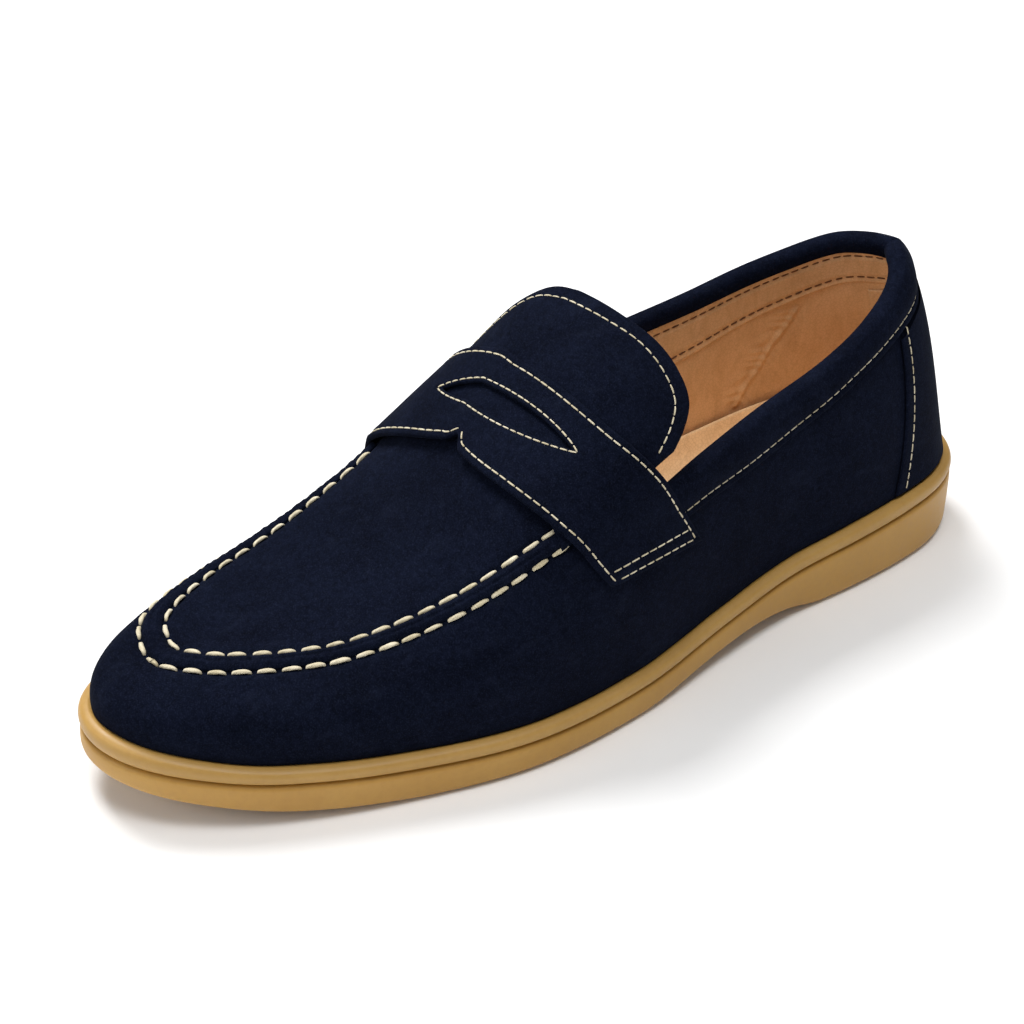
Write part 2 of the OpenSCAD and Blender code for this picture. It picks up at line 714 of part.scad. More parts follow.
module slot_thread() {
  function lens(k, sgn) =
    let (
      h = slot_mid + (slot_half + 0.02) * (2 * k / 30 - 1),
      f = (slot_phi(h) - strap_phi(h, 0)) / (strap_phi(h, 1) - strap_phi(h, 0))
    )
    strap_point(h, f + sgn * 0.17 * (1 - pow(2 * k / 30 - 1, 2)), strap_face);
  color(CREAM)
  for (sgn = [-1, 1])
    stitches([for (k = [0:30]) lens(k, sgn)], fine_pitch, 0.62, fine_radius);
}

module tongue_thread() {
  color(CREAM)
  stitches([for (i = [0:50])
    let (h = mix(-0.41, 0.41, i / 50))
    over(tongue_phi(h * 1.06) - 1.9 + 0.4 * abs(h), h + strap_shift, 1.6 + fine_radius + air)],
    fine_pitch, 0.62, fine_radius);
}

module collar_thread() {
  color(CREAM)
  stitches([for (a = [100:3:260])
    let (s = wrap(a)) skin_at(s, band_v(s) + 0.022, 1.2 + fine_radius + air)],
    fine_pitch, 0.62, fine_radius);
}

module backstay_thread() {
  color(CREAM)
  for (g = [-1, 1])
    stitches([for (i = [0:20])
      let (v = mix(0.04, 0.36, i / 20))
      skin_at(g * (backstay_foot + 2.6 + backstay_lean * v), v, 1.1 + fine_radius + air)],
      fine_pitch, 0.62, fine_radius);
}

// Rows of lining stitches on both sides, stopping short of the heel grip.
module lining_row(heights) {
  for (g = [-1, 1])
    stitches([for (i = [0:22]) skin_at(g * heights[i][0], heights[i][1], -lining_back - fine_radius - air)],
      fine_pitch * 1.4, 0.62, fine_radius);
}
row_angles = [for (i = [0:22]) mix(98, 159, i / 22)];

module lining_thread_upper() {
  color(TAN) lining_row([for (a = row_angles) [a, edge_v(a) - 0.02]]);
}

module lining_thread_lower() {
  color(TAN) lining_row([for (a = row_angles) [a, strip_v(a) + 0.02]]);
}

outsole();
sole_rim();
forefoot_tread();
heel_tread();
sole_filler();
shank();
insole_board();
footbed_foam();
footbed();
toe_puff();
heel_counter();
collar_foam();
upper_wrap();
apron_plug();
moc_seam();
tongue();
tongue_lining();
saddle_strap();
collar_band();
collar_roll();
backstay();
vamp_lining();
quarter_lining();
collar_lining();
heel_grip();
apron_thread_inner();
apron_thread_outer();
strap_edge_thread();
strap_end_thread();
slot_thread();
tongue_thread();
collar_thread();
backstay_thread();
lining_thread_upper();
lining_thread_lower();
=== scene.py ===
import math
import bpy
import bmesh
import numpy as np
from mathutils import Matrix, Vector


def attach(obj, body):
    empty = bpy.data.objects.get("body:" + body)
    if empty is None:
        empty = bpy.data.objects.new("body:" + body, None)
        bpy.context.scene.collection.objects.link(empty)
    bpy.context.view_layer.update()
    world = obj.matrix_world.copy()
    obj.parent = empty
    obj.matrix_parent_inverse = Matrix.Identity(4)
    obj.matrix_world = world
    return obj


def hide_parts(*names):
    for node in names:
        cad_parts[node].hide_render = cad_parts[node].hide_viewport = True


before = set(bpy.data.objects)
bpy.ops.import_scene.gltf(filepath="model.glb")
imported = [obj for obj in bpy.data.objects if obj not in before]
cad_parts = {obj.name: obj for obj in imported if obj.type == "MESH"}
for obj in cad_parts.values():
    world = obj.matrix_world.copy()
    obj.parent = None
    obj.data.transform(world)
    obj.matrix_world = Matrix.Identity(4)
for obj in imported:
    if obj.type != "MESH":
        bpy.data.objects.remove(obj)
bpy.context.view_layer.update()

MM = 0.001

# ---------------------------------------------------------------- the last
# The same outline tables as the CAD source, in millimetres.
LENGTH = 300.0
FEATHER = 4.5
OUTER_WIDTH = [(0, 60), (20, 62.5), (40, 65), (60, 63), (75, 62), (90, 55.5), (103, 47.5),
    (115, 43.5), (127, 46.5), (140, 52), (152, 59), (165, 65), (180, 65)]
INNER_WIDTH = [(0, 60), (20, 51), (40, 46), (60, 46.5), (75, 46), (90, 38.5), (103, 34), (115, 35),
    (127, 41.5), (140, 49.5), (152, 57.5), (165, 64), (180, 65)]
TOE_SWING = [(-150, 6), (-140, 4.5), (-125, 2), (-105, 0.3), (-90, 0)]
BOTTOM_Z = [(-150, 12), (-130, 7.5), (-105, 3), (-75, 0.3), (-60, 0), (0, 0), (25, 2.5), (45, 4),
            (62, 3), (78, 0), (130, 0), (150, 2.5)]
GROOVE_Z = [(-150, 19.5), (-110, 13.5), (-60, 10), (0, 9.5), (40, 12.8), (75, 16.5), (110, 19), (150, 21)]
TOP_Z = [(-150, 26), (-110, 18.5), (-60, 15), (0, 14.5), (40, 18), (75, 22), (110, 25), (150, 26)]
RIB_END = [(-150, -98), (-125, -92), (-90, -74), (-50, -44), (0, 0), (50, 44), (100, 74),
           (130, 82), (150, 84)]
RIDGE_X = [(-100, 3), (-60, 1), (-25, -4), (0, -9), (45, -12), (85, -13)]
RIDGE_Z = [(-100, 39), (-75, 44), (-50, 58), (-25, 79), (-8, 91), (3, 99), (14, 102.8),
    (28, 103.2), (50, 105), (84, 109)]
RISE_OUTER = [(0, 16), (30, 18), (60, 26), (90, 42), (120, 50), (150, 54), (180, 54)]
RISE_INNER = [(0, 16), (20, 20), (40, 25), (60, 32), (75, 38), (84, 46), (92, 68), (100, 76),
    (112, 74), (130, 60), (150, 54), (180, 54)]
RIB_SWELL = [(0, 0.5), (40, 3), (70, 4), (100, 3), (128, 1.5), (150, -8.4), (165, -13.6),
    (180, -15)]
CROWN_OUTER = [(0, 0.58), (40, 0.6), (70, 0.74), (88, 0.88), (105, 0.76), (130, 0.52), (160, 0.76),
    (180, 0.92)]
CROWN_INNER = [(0, 0.58), (20, 0.68), (40, 0.78), (60, 0.88), (75, 0.96), (88, 1.1), (105, 1.04),
    (130, 0.82), (160, 0.78), (180, 0.92)]
TOPLINE_OUTER = [(-10, 65), (30, 71.3), (65, 76.7), (95, 83.4), (120, 90.7), (139, 98)]
TOPLINE_INNER = [(-10, 68), (30, 78.6), (65, 85.2), (95, 90.7), (120, 96), (139, 98)]
BAND_DROP = [(-10, 10), (25, 11.1), (50, 12.5), (75, 11.2), (100, 9.9), (125, 10.5), (139, 12)]
SEAM_OUTER = [(0, 0.645), (16, 0.68), (34, 0.664), (52, 0.617), (68, 0.568), (82, 0.529),
    (90, 0.508)]
SEAM_INNER = [(0, 0.645), (15, 0.62), (30, 0.535), (47, 0.485), (62, 0.515), (73, 0.565),
    (82, 0.57), (90, 0.55)]
STRAP_FRONT = [(0, 77.3), (0.035, 76), (0.2, 76), (0.4, 77), (0.5, 77.8), (0.64, 79), (0.7, 80)]
STRAP_REAR = [(0, 86.6), (0.28, 87.5), (0.45, 89.6), (0.7, 93.4)]
TONGUE_REAR = [(-0.47, 87), (-0.4, 88.6), (-0.31, 91.2), (-0.2, 94.6), (-0.05, 96.4), (0.08, 98.2),
    (0.2, 100.2), (0.3, 101), (0.38, 100.8), (0.43, 99), (0.47, 96)]
TOPLINE_SHIFT = 8
ROLL_HEIGHT = 3.2
STRAP_SIDE = 0.68
STRAP_SHIFT = 0.04
STRAP_SKEW = 9
STRAP_TILT = 0.1
TONGUE_SKEW = 3
SLOT_SKEW = 13.1
SIDE_SHIFT = 6.54
STRAP_LIFT = 1.8
SLOT_ANGLE = 82.23
SLOT_BOW = 0.6
SLOT_MID = 0.0425
SLOT_HALF = 0.2125
BACKSTAY_FOOT = 137
BACKSTAY_LEAN = 17.5
TONGUE_FRONT = 79.5
# Layers of the upper: the suede's thickness, and offsets from its outer face.
SUEDE_THICK = 1.4
LINING_FACE = -2.8
LINING_BACK = -4.0
STRIP_BACK = -4.35


def smooth(table, x):
    t = np.asarray(table, float)
    xs, ys = t[:, 0], t[:, 1]
    m = np.empty(len(xs))
    m[1:-1] = (ys[2:] - ys[:-2]) / (xs[2:] - xs[:-2])
    m[0] = (ys[1] - ys[0]) / (xs[1] - xs[0])
    m[-1] = (ys[-1] - ys[-2]) / (xs[-1] - xs[-2])
    x = np.clip(x, xs[0], xs[-1])
    i = np.clip(np.searchsorted(xs, x, side="right") - 1, 0, len(xs) - 2)
    h = xs[i + 1] - xs[i]
    q = (x - xs[i]) / h
    return ((2 * q**3 - 3 * q**2 + 1) * ys[i] + (q**3 - 2 * q**2 + q) * h * m[i]
            + (-2 * q**3 + 3 * q**2) * ys[i + 1] + (q**3 - q**2) * h * m[i + 1])


def wrap(s):
    return (np.asarray(s, float) + 180) % 360 - 180


def rough(s):
    s = wrap(s)
    p = np.abs(s)
    w = np.where(s >= 0, smooth(OUTER_WIDTH, p), smooth(INNER_WIDTH, p))
    r = np.radians(s)
    y = -LENGTH / 2 * np.cos(r)
    return w * np.sin(r) + smooth(TOE_SWING, y) - SIDE_SHIFT, y


def outline(s, inset=0.0):
    x, y = rough(s)
    x1, y1 = rough(np.asarray(s) + 0.5)
    x0, y0 = rough(np.asarray(s) - 0.5)
    n = np.hypot(x1 - x0, y1 - y0)
    nx, ny = (y1 - y0) / n, -(x1 - x0) / n
    return x - nx * inset, y - ny * inset, nx, ny


def last(s, v):
    s, v = np.broadcast_arrays(wrap(s), np.asarray(v, float))
    p = np.abs(s)
    x, y, nx, ny = outline(s, FEATHER)
    yo = rough(s)[1]
    zf = smooth(TOP_Z, yo) - 0.5
    yr = smooth(RIB_END, yo)
    xr, zr = smooth(RIDGE_X, yr) - SIDE_SHIFT, smooth(RIDGE_Z, yr)
    rise = smooth(RIDGE_Z, yr + 0.5) - smooth(RIDGE_Z, yr - 0.5)
    side = smooth(RIDGE_X, yr + 0.5) - smooth(RIDGE_X, yr - 0.5)
    k = np.where(s >= 0, smooth(CROWN_OUTER, p), smooth(CROWN_INNER, p))
    b = smooth(RIB_SWELL, p)
    dx, dy = x - xr, y - yr
    p0 = np.stack([x, y, zf], -1)
    rise_1 = np.where(s >= 0, smooth(RISE_OUTER, p), smooth(RISE_INNER, p))
    p1 = np.stack([x + nx * b, y + ny * b, zf + rise_1], -1)
    p2 = np.stack([xr + k * (dx + dy * side), yr + k * dy, zr + k * dy * rise], -1)
    p3 = np.stack([xr, yr, zr], -1)
    t = v[..., None]
    u = 1 - t
    return p0 * u**3 + 3 * p1 * t * u**2 + 3 * p2 * t**2 * u + p3 * t**3


def normal(s, v):
    s, v = np.broadcast_arrays(wrap(s), np.asarray(v, float))
    a = np.where(np.abs(s) < 1, 1.0, s)
    b = np.clip(v, 0.01, 0.985)
    n = np.cross(last(a + 0.4, b) - last(a - 0.4, b), last(a, b + 0.004) - last(a, b - 0.004))
    return n / (np.linalg.norm(n, axis=-1, keepdims=True) + 1e-12)


def skin(s, v, off=0.0):
    return last(s, v) + normal(s, v) * np.asarray(off, float)[..., None]


def across(phi, g):
    """Angle and share of a point addressed across the ridge, g from -1 to 1."""
    g = np.asarray(g, float)
    return np.where(g < 0, -1.0, 1.0) * phi, np.minimum(1 - np.abs(g), 1)


def reach(s, z):
    lo, hi = np.full(np.shape(s), 0.02), np.full(np.shape(s), 0.9)
    for _ in range(24):
        m = (lo + hi) / 2
        up = last(s, m)[..., 2] < z
        lo, hi = np.where(up, m, lo), np.where(up, hi, m)
    return (lo + hi) / 2


def topline_z(s):
    y = rough(s)[1] - TOPLINE_SHIFT
    return np.where(wrap(s) >= 0, smooth(TOPLINE_OUTER, y), smooth(TOPLINE_INNER, y))


def edge_v(s):
    return reach(s, topline_z(s) - ROLL_HEIGHT)


def band_v(s):
    return reach(s, topline_z(s) - smooth(BAND_DROP, rough(s)[1]))


def strip_v(s):
    return np.maximum(edge_v(s) - 0.15, 0.2)


def seam_v(s):
    s = wrap(s)
    return np.where(s >= 0, smooth(SEAM_OUTER, np.abs(s)), smooth(SEAM_INNER, np.abs(s)))


def wrap_v(s):
    s = wrap(s)
    p = np.abs(s)
    f = np.clip((p - 84) / 8, 0, 1)
    return seam_v(s) * (1 - f) + edge_v(np.where(p < 86, 86 * np.sign(s + 1e-9), s)) * f


def strap_phi(h, f):
    a = np.abs(h)
    return smooth(STRAP_FRONT, a) * (1 - f) + smooth(STRAP_REAR, a) * f + STRAP_SKEW * h


def strap_under(h):
    return np.interp(np.abs(h), [0, 0.47, 0.57, 1], [STRAP_LIFT, STRAP_LIFT, 0.1, 0.1])


def slot_phi(h):
    return SLOT_ANGLE + SLOT_SKEW * h - SLOT_BOW * (1 - ((h - SLOT_MID) / SLOT_HALF) ** 2)


def tongue_phi(h):
    return smooth(TONGUE_REAR, h)


# ---------------------------------------------------------------- mesh helpers
def make(name, verts, faces, mat, replaces=(), weld=0.00002):
    me = bpy.data.meshes.new(name)
    me.from_pydata((np.asarray(verts, float).reshape(-1, 3) * MM).tolist(), [], faces)
    bm = bmesh.new()
    bm.from_mesh(me)
    if weld:
        bmesh.ops.remove_doubles(bm, verts=bm.verts, dist=weld)
    bmesh.ops.recalc_face_normals(bm, faces=bm.faces)
    bm.to_mesh(me)
    bm.free()
    me.polygons.foreach_set("use_smooth", [True] * len(me.polygons))
    me.materials.append(mat)
    ob = bpy.data.objects.new(name, me)
    bpy.context.scene.collection.objects.link(ob)
    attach(ob, "root")
    if replaces:
        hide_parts(*replaces)
    return ob


def grid_faces(nu, nv, ring_u=False, ring_v=False, base=0, flip=False):
    out = []
    for i in range(nu if ring_u else nu - 1):
        for j in range(nv if ring_v else nv - 1):
            a, b = i * nv + j, ((i + 1) % nu) * nv + j
            c, d = ((i + 1) % nu) * nv + (j + 1) % nv, i * nv + (j + 1) % nv
            q = (base + a, base + b, base + c, base + d)
            out.append(q[::-1] if flip else q)
    return out


def walk(points):
    """Running length along a path."""
    d = np.linalg.norm(np.diff(points, axis=0), axis=1)
    return np.concatenate([[0], np.cumsum(d)])


def near(points, path):
    """Distance of each point to a path, and how far along the path it is."""
    pts = np.asarray(points, float).reshape(-1, 3)
    a, b = path[:-1], path[1:]
    run = walk(path)[:-1]
    seg = b - a
    length = np.linalg.norm(seg, axis=1) + 1e-9
    dist, along = np.empty(len(pts)), np.empty(len(pts))
    for k in range(0, len(pts), 4000):
        q = pts[k:k + 4000, None, :]
        t = np.clip(((q - a) * seg).sum(-1) / length**2, 0, 1)
        d = np.linalg.norm(q - (a + seg * t[..., None]), axis=-1)
        i = d.argmin(1)
        r = np.arange(len(i))
        dist[k:k + 4000] = d[r, i]
        along[k:k + 4000] = run[i] + t[r, i] * length[i]
    shape = np.shape(points)[:-1]
    return dist.reshape(shape), along.reshape(shape)


def fractions(length, n, fine=(0.12, 0.35, 0.7, 1.15, 1.8, 2.6)):
    """Shares along a line: close together at both ends, even between."""
    e = np.array([0.0, *fine]) / length
    e = e[e < 0.45]
    mid = np.linspace(e[-1], 1 - e[-1], max(n, 3))[1:-1]
    return np.concatenate([e, mid, 1 - e[::-1]])


def slab(name, s, v, lo, hi, mat, replaces=(), edge=None, radius=1.0, ring=False,
         relief=None, under=None):
    """Leather sheet over the last, between offsets lo and hi, its edge rounded towards the line edge."""
    base = last(s, v)
    n = normal(s, v)
    mid, half = (np.asarray(lo) + hi) / 2, (np.asarray(hi) - lo) / 2
    if edge is not None:
        d = np.min([near(base, e)[0] for e in edge], axis=0)
        q = np.clip(d / radius, 0, 1)
        k = np.sqrt(np.clip(1 - (1 - q) ** 2, 0, 1))
    else:
        k = np.ones(base.shape[:2])
    up = (mid + half * k) + (relief(base) if relief else 0)
    dn = (mid - half * k) + (under(base) if under else 0)
    up = np.where(k < 1e-3, mid, up)
    dn = np.where(k < 1e-3, mid, dn)
    outer, inner = base + n * up[..., None], base + n * dn[..., None]
    nu, nv = base.shape[:2]
    faces = grid_faces(nu, nv, ring) + grid_faces(nu, nv, ring, base=nu * nv, flip=True)
    if edge is None:
        o = nu * nv
        for i in range(nu if ring else nu - 1):
            a, b = i * nv, (i + 1) % nu * nv
            faces.append((a, a + o, b + o, b))
        for i in range(nu if ring else nu - 1):
            a, b = i * nv + nv - 1, (i + 1) % nu * nv + nv - 1
            faces.append((a, b, b + o, a + o))
        if not ring:
            faces += [(j, j + 1, j + 1 + o, j + o) for j in range(nv - 1)]
            e = (nu - 1) * nv
            faces += [(e + j, e + j + o, e + j + 1 + o, e + j + 1) for j in range(nv - 1)]
    both = np.concatenate([outer.reshape(-1, 3), inner.reshape(-1, 3)])
    return make(name, both, faces, mat, replaces)


# ---------------------------------------------------------------- materials
def material(name, build):
    m = bpy.data.materials.new(name)
    m.use_nodes = True
    nt = m.node_tree
    nt.nodes.clear()
    out = nt.nodes.new("ShaderNodeOutputMaterial")
    p = nt.nodes.new("ShaderNodeBsdfPrincipled")
    nt.links.new(p.outputs[0], out.inputs[0])
    co = nt.nodes.new("ShaderNodeTexCoord")
    build(nt, p, co.outputs["Object"])
    return m


def noise(nt, co, scale, detail=3.0, rough=0.55, distort=0.0, stretch=None):
    if stretch:
        mp = nt.nodes.new("ShaderNodeMapping")
        mp.inputs["Scale"].default_value = stretch
        nt.links.new(co, mp.inputs["Vector"])
        co = mp.outputs[0]
    n = nt.nodes.new("ShaderNodeTexNoise")
    n.inputs["Scale"].default_value = scale
    n.inputs["Detail"].default_value = detail
    n.inputs["Roughness"].default_value = rough
    n.inputs["Distortion"].default_value = distort
    nt.links.new(co, n.inputs["Vector"])
    return n.outputs["Fac"]


def voronoi(nt, co, scale, feature="DISTANCE_TO_EDGE"):
    n = nt.nodes.new("ShaderNodeTexVoronoi")
    n.feature = feature
    n.inputs["Scale"].default_value = scale
    nt.links.new(co, n.inputs["Vector"])
    return n.outputs["Distance"]


def ramp(nt, fac, stops):
    r = nt.nodes.new("ShaderNodeValToRGB")
    el = r.color_ramp.elements
    while len(el) < len(stops):
        el.new(0.5)
    for e, (pos, col) in zip(el, stops):
        e.position = pos
        e.color = (*col, 1) if len(col) == 3 else col
    nt.links.new(fac, r.inputs[0])
    return r.outputs[0]


def mixed(nt, fac, a, b, kind="MIX"):
    m = nt.nodes.new("ShaderNodeMix")
    m.data_type = "RGBA"
    m.blend_type = kind
    if isinstance(fac, float):
        m.inputs[0].default_value = fac
    else:
        nt.links.new(fac, m.inputs[0])
    for k, x in ((6, a), (7, b)):
        if isinstance(x, tuple):
            m.inputs[k].default_value = (*x, 1)
        else:
            nt.links.new(x, m.inputs[k])
    return m.outputs[2]


def bump(nt, p, heights):
    """heights: (height, strength, distance in metres) stacked."""
    prev = None
    for h, strength, dist in heights:
        b = nt.nodes.new("ShaderNodeBump")
        b.inputs["Strength"].default_value = strength
        b.inputs["Distance"].default_value = dist
        nt.links.new(h, b.inputs["Height"])
        if prev is not None:
            nt.links.new(prev, b.inputs["Normal"])
        prev = b.outputs[0]
    nt.links.new(prev, p.inputs["Normal"])


def rgb(r, g, b):
    """Linear colour of an sRGB triple on 0 to 255."""
    shares = [c / 255 for c in (r, g, b)]
    return tuple(c / 12.92 if c <= 0.04045 else ((c + 0.055) / 1.055) ** 2.4 for c in shares)


def suede(nt, p, co):
    nap = noise(nt, co, 2400, 2, 0.6)
    tuft = noise(nt, co, 620, 4, 0.65, 0.4)
    cloud = noise(nt, co, 42, 4, 0.6, 0.6)
    hand = noise(nt, co, 110, 3, 0.6, 1.2, stretch=(1, 0.55, 1))
    base = ramp(nt, tuft, [(0.28, rgb(8, 12, 24)), (0.5, rgb(13, 18, 33)), (0.74, rgb(20, 25, 42))])
    shade = ramp(nt, cloud, [(0.3, rgb(190, 190, 196)), (0.52, rgb(225, 226, 230)),
                             (0.75, rgb(255, 255, 255))])
    lit = mixed(nt, 1.0, base, shade, "MULTIPLY")
    # Lighter specks on the nap: partly the nap's own speckle, partly a painted sheen of light catching the
    # fibre tips.
    nap_fleck_and_sheen = ramp(nt, nap, [(0.5, (0, 0, 0)), (0.78, rgb(42, 48, 66))])
    rub = ramp(nt, hand, [(0.55, (0, 0, 0)), (0.8, rgb(24, 28, 40))])
    nt.links.new(mixed(nt, 0.3, mixed(nt, 0.3, lit, nap_fleck_and_sheen, "ADD"), rub, "ADD"), p.inputs["Base Color"])
    nt.links.new(ramp(nt, tuft, [(0.2, (0.86,) * 3), (0.8, (0.97,) * 3)]), p.inputs["Roughness"])
    p.inputs["Specular IOR Level"].default_value = 0.03
    p.inputs["Sheen Weight"].default_value = 0.015
    p.inputs["Sheen Roughness"].default_value = 0.4
    p.inputs["Sheen Tint"].default_value = (0.5, 0.6, 0.9, 1)
    bump(nt, p, [(cloud, 0.25, 0.0009), (tuft, 0.45, 0.00032), (nap, 0.5, 0.0001)])


def leather(dark, mid, light, coat=0.12, rough=0.5, pores=1.0):
    def build(nt, p, co):
        cell = voronoi(nt, co, 900)
        fine = noise(nt, co, 1500, 3, 0.6)
        cloud = noise(nt, co, 30, 3, 0.5, 0.4)
        crease = noise(nt, co, 190, 3, 0.55, 1.0, stretch=(1, 1, 0.4))
        base = ramp(nt, cloud, [(0.28, dark), (0.5, mid), (0.74, light)])
        grain = ramp(nt, cell, [(0.0, rgb(214, 204, 196)), (0.12, rgb(255, 255, 255))])
        # Slightly darker where the crease noise is low, along the valleys of the crease bump.
        crease_darkening = ramp(nt, crease, [(0.36, rgb(244, 240, 236)), (0.6, rgb(255, 255, 255))])
        nt.links.new(mixed(nt, 1.0, mixed(nt, 0.4, base, grain, "MULTIPLY"), crease_darkening, "MULTIPLY"),
                     p.inputs["Base Color"])
        dull = ramp(nt, fine, [(0.2, (rough - 0.06,) * 3), (0.8, (rough + 0.14,) * 3)])
        nt.links.new(dull, p.inputs["Roughness"])
        p.inputs["Specular IOR Level"].default_value = 0.35
        p.inputs["Coat Weight"].default_value = coat
        p.inputs["Coat Roughness"].default_value = 0.45
        bump(nt, p, [(crease, 0.22 * pores, 0.0004), (cell, 0.3 * pores, 0.00008), (fine, 0.2, 0.00004)])
    return build


def rubber(dark, mid, light, rough=0.42):
    def build(nt, p, co):
        cloud = noise(nt, co, 26, 3, 0.55, 0.5)
        speck = noise(nt, co, 520, 3, 0.6)
        fine = noise(nt, co, 2200, 2, 0.6)
        base = ramp(nt, cloud, [(0.3, dark), (0.5, mid), (0.72, light)])
        dust = ramp(nt, speck, [(0.3, rgb(249, 247, 244)), (0.6, rgb(255, 255, 255))])
        nt.links.new(mixed(nt, 1.0, base, dust, "MULTIPLY"), p.inputs["Base Color"])
        dull = ramp(nt, speck, [(0.25, (rough - 0.05,) * 3), (0.75, (rough + 0.12,) * 3)])
        nt.links.new(dull, p.inputs["Roughness"])
        p.inputs["Specular IOR Level"].default_value = 0.42
        p.inputs["Subsurface Weight"].default_value = 0.08
        p.inputs["Subsurface Radius"].default_value = (0.0016, 0.001, 0.0005)
        p.inputs["Subsurface Scale"].default_value = 1.0
        bump(nt, p, [(speck, 0.1, 0.00008), (fine, 0.12, 0.00003)])
    return build


def thread(dark, light):
    def build(nt, p, co):
        fibre = noise(nt, co, 3800, 3, 0.6)
        tone = noise(nt, co, 160, 2, 0.5)
        base = ramp(nt, tone, [(0.3, dark), (0.7, light)])
        hair = ramp(nt, fibre, [(0.3, rgb(196, 188, 172)), (0.62, rgb(255, 255, 255))])
        nt.links.new(mixed(nt, 0.8, base, hair, "MULTIPLY"), p.inputs["Base Color"])
        nt.links.new(ramp(nt, fibre, [(0.2, (0.55,) * 3), (0.8, (0.78,) * 3)]), p.inputs["Roughness"])
        p.inputs["Specular IOR Level"].default_value = 0.35
        p.inputs["Sheen Weight"].default_value = 0.2
        bump(nt, p, [(fibre, 0.6, 0.00008)])
    return build


def board(dark, light):
    def build(nt, p, co):
        fibre = noise(nt, co, 420, 5, 0.7, 0.8, stretch=(1, 0.3, 1))
        nt.links.new(ramp(nt, fibre, [(0.3, dark), (0.7, light)]), p.inputs["Base Color"])
        nt.links.new(ramp(nt, fibre, [(0.2, (0.75,) * 3), (0.8, (0.92,) * 3)]), p.inputs["Roughness"])
        bump(nt, p, [(fibre, 0.4, 0.0002)])
    return build


def foam(nt, p, co):
    cell = voronoi(nt, co, 1300, "F1")
    foam_colour = ramp(nt, cell, [(0.1, rgb(196, 190, 172)), (0.6, rgb(232, 228, 214))])
    nt.links.new(foam_colour, p.inputs["Base Color"])
    nt.links.new(ramp(nt, cell, [(0.1, (0.8,) * 3), (0.8, (0.95,) * 3)]), p.inputs["Roughness"])
    bump(nt, p, [(cell, 0.5, 0.0003)])


def steel(nt, p, co):
    brush = noise(nt, co, 900, 3, 0.6, stretch=(1, 0.06, 1))
    metal = ramp(nt, brush, [(0.3, rgb(120, 123, 128)), (0.7, rgb(176, 179, 184))])
    nt.links.new(metal, p.inputs["Base Color"])
    nt.links.new(ramp(nt, brush, [(0.2, (0.28,) * 3), (0.8, (0.46,) * 3)]), p.inputs["Roughness"])
    p.inputs["Metallic"].default_value = 1.0
    bump(nt, p, [(brush, 0.2, 0.00005)])


SUEDE = material("navy_suede", suede)
LINING = material("lining_leather_tan",
                  leather(rgb(216, 174, 127), rgb(223, 182, 136), rgb(230, 190, 146), 0.08, 0.52))
SOCK = material("sock_leather_pale",
                leather(rgb(238, 200, 150), rgb(244, 209, 161), rgb(249, 217, 172), 0.05, 0.6, 0.7))
GUM = material("gum_rubber_rim", rubber(rgb(174, 135, 70), rgb(179, 140, 74), rgb(184, 145, 79)))
GUM_LOW = material("gum_rubber_low", rubber(rgb(182, 138, 66), rgb(187, 143, 70), rgb(192, 149, 75), 0.46))
CREAM = material("cream_thread_waxed", thread(rgb(206, 194, 160), rgb(243, 234, 208)))
GRIP = material("heel_grip_leather",
                leather(rgb(216, 176, 130), rgb(223, 184, 139), rgb(230, 192, 148), 0.04, 0.65, 0.8))
# Lining stitch thread: brown, darkened partly as painted shade of the stitch holes.
BROWN_THREAD_HOLE_SHADE = material("brown_thread_hole_shade", thread(rgb(92, 56, 28), rgb(130, 84, 46)))
BOARD = material("fibre_board_pressed", board(rgb(140, 118, 90), rgb(176, 154, 122)))
FOAM = material("foam_open_cell", foam)
STEEL = material("shank_spring_steel", steel)

for node, mat in {"sole_filler": FOAM, "shank": STEEL, "insole_board": BOARD, "footbed_foam": FOAM,
                  "toe_puff": BOARD, "heel_counter": BOARD, "collar_foam": FOAM,
                  "forefoot_tread": GUM_LOW, "heel_tread": GUM_LOW, "vamp_lining": LINING,
                  "tongue_lining": LINING}.items():
    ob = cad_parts[node]
    ob.data.materials.clear()
    ob.data.materials.append(mat)

# ---------------------------------------------------------------- sole
RING_S = np.linspace(0, 360, 481)[:-1]
SOLE_Y = rough(RING_S)[1]
LOW, MIDZ, TOPZ = np.maximum(smooth(BOTTOM_Z, SOLE_Y), 0), smooth(GROOVE_Z, SOLE_Y), smooth(TOP_Z, SOLE_Y)


def rings(profile):
    """Rings of the sole from (inset, height) pairs, the height an array over the ring."""
    out = []
    for inset, z in profile:
        x, y, _, _ = outline(RING_S, inset)
        out.append(np.stack([x, y, np.broadcast_to(z, x.shape)], -1))
    return np.stack(out, 1)


def ladder(ring_index, n, nv, up):
    h = n // 2
    at = lambda i: (i % n) * nv + ring_index
    out = []
    for i in range(h):
        q = [at(i), at(i + 1), at(n - i - 1), at(n - i)]
        q = [a for k, a in enumerate(q) if a not in q[:k]]
        out.append(tuple(q[::-1] if up else q))
    return out


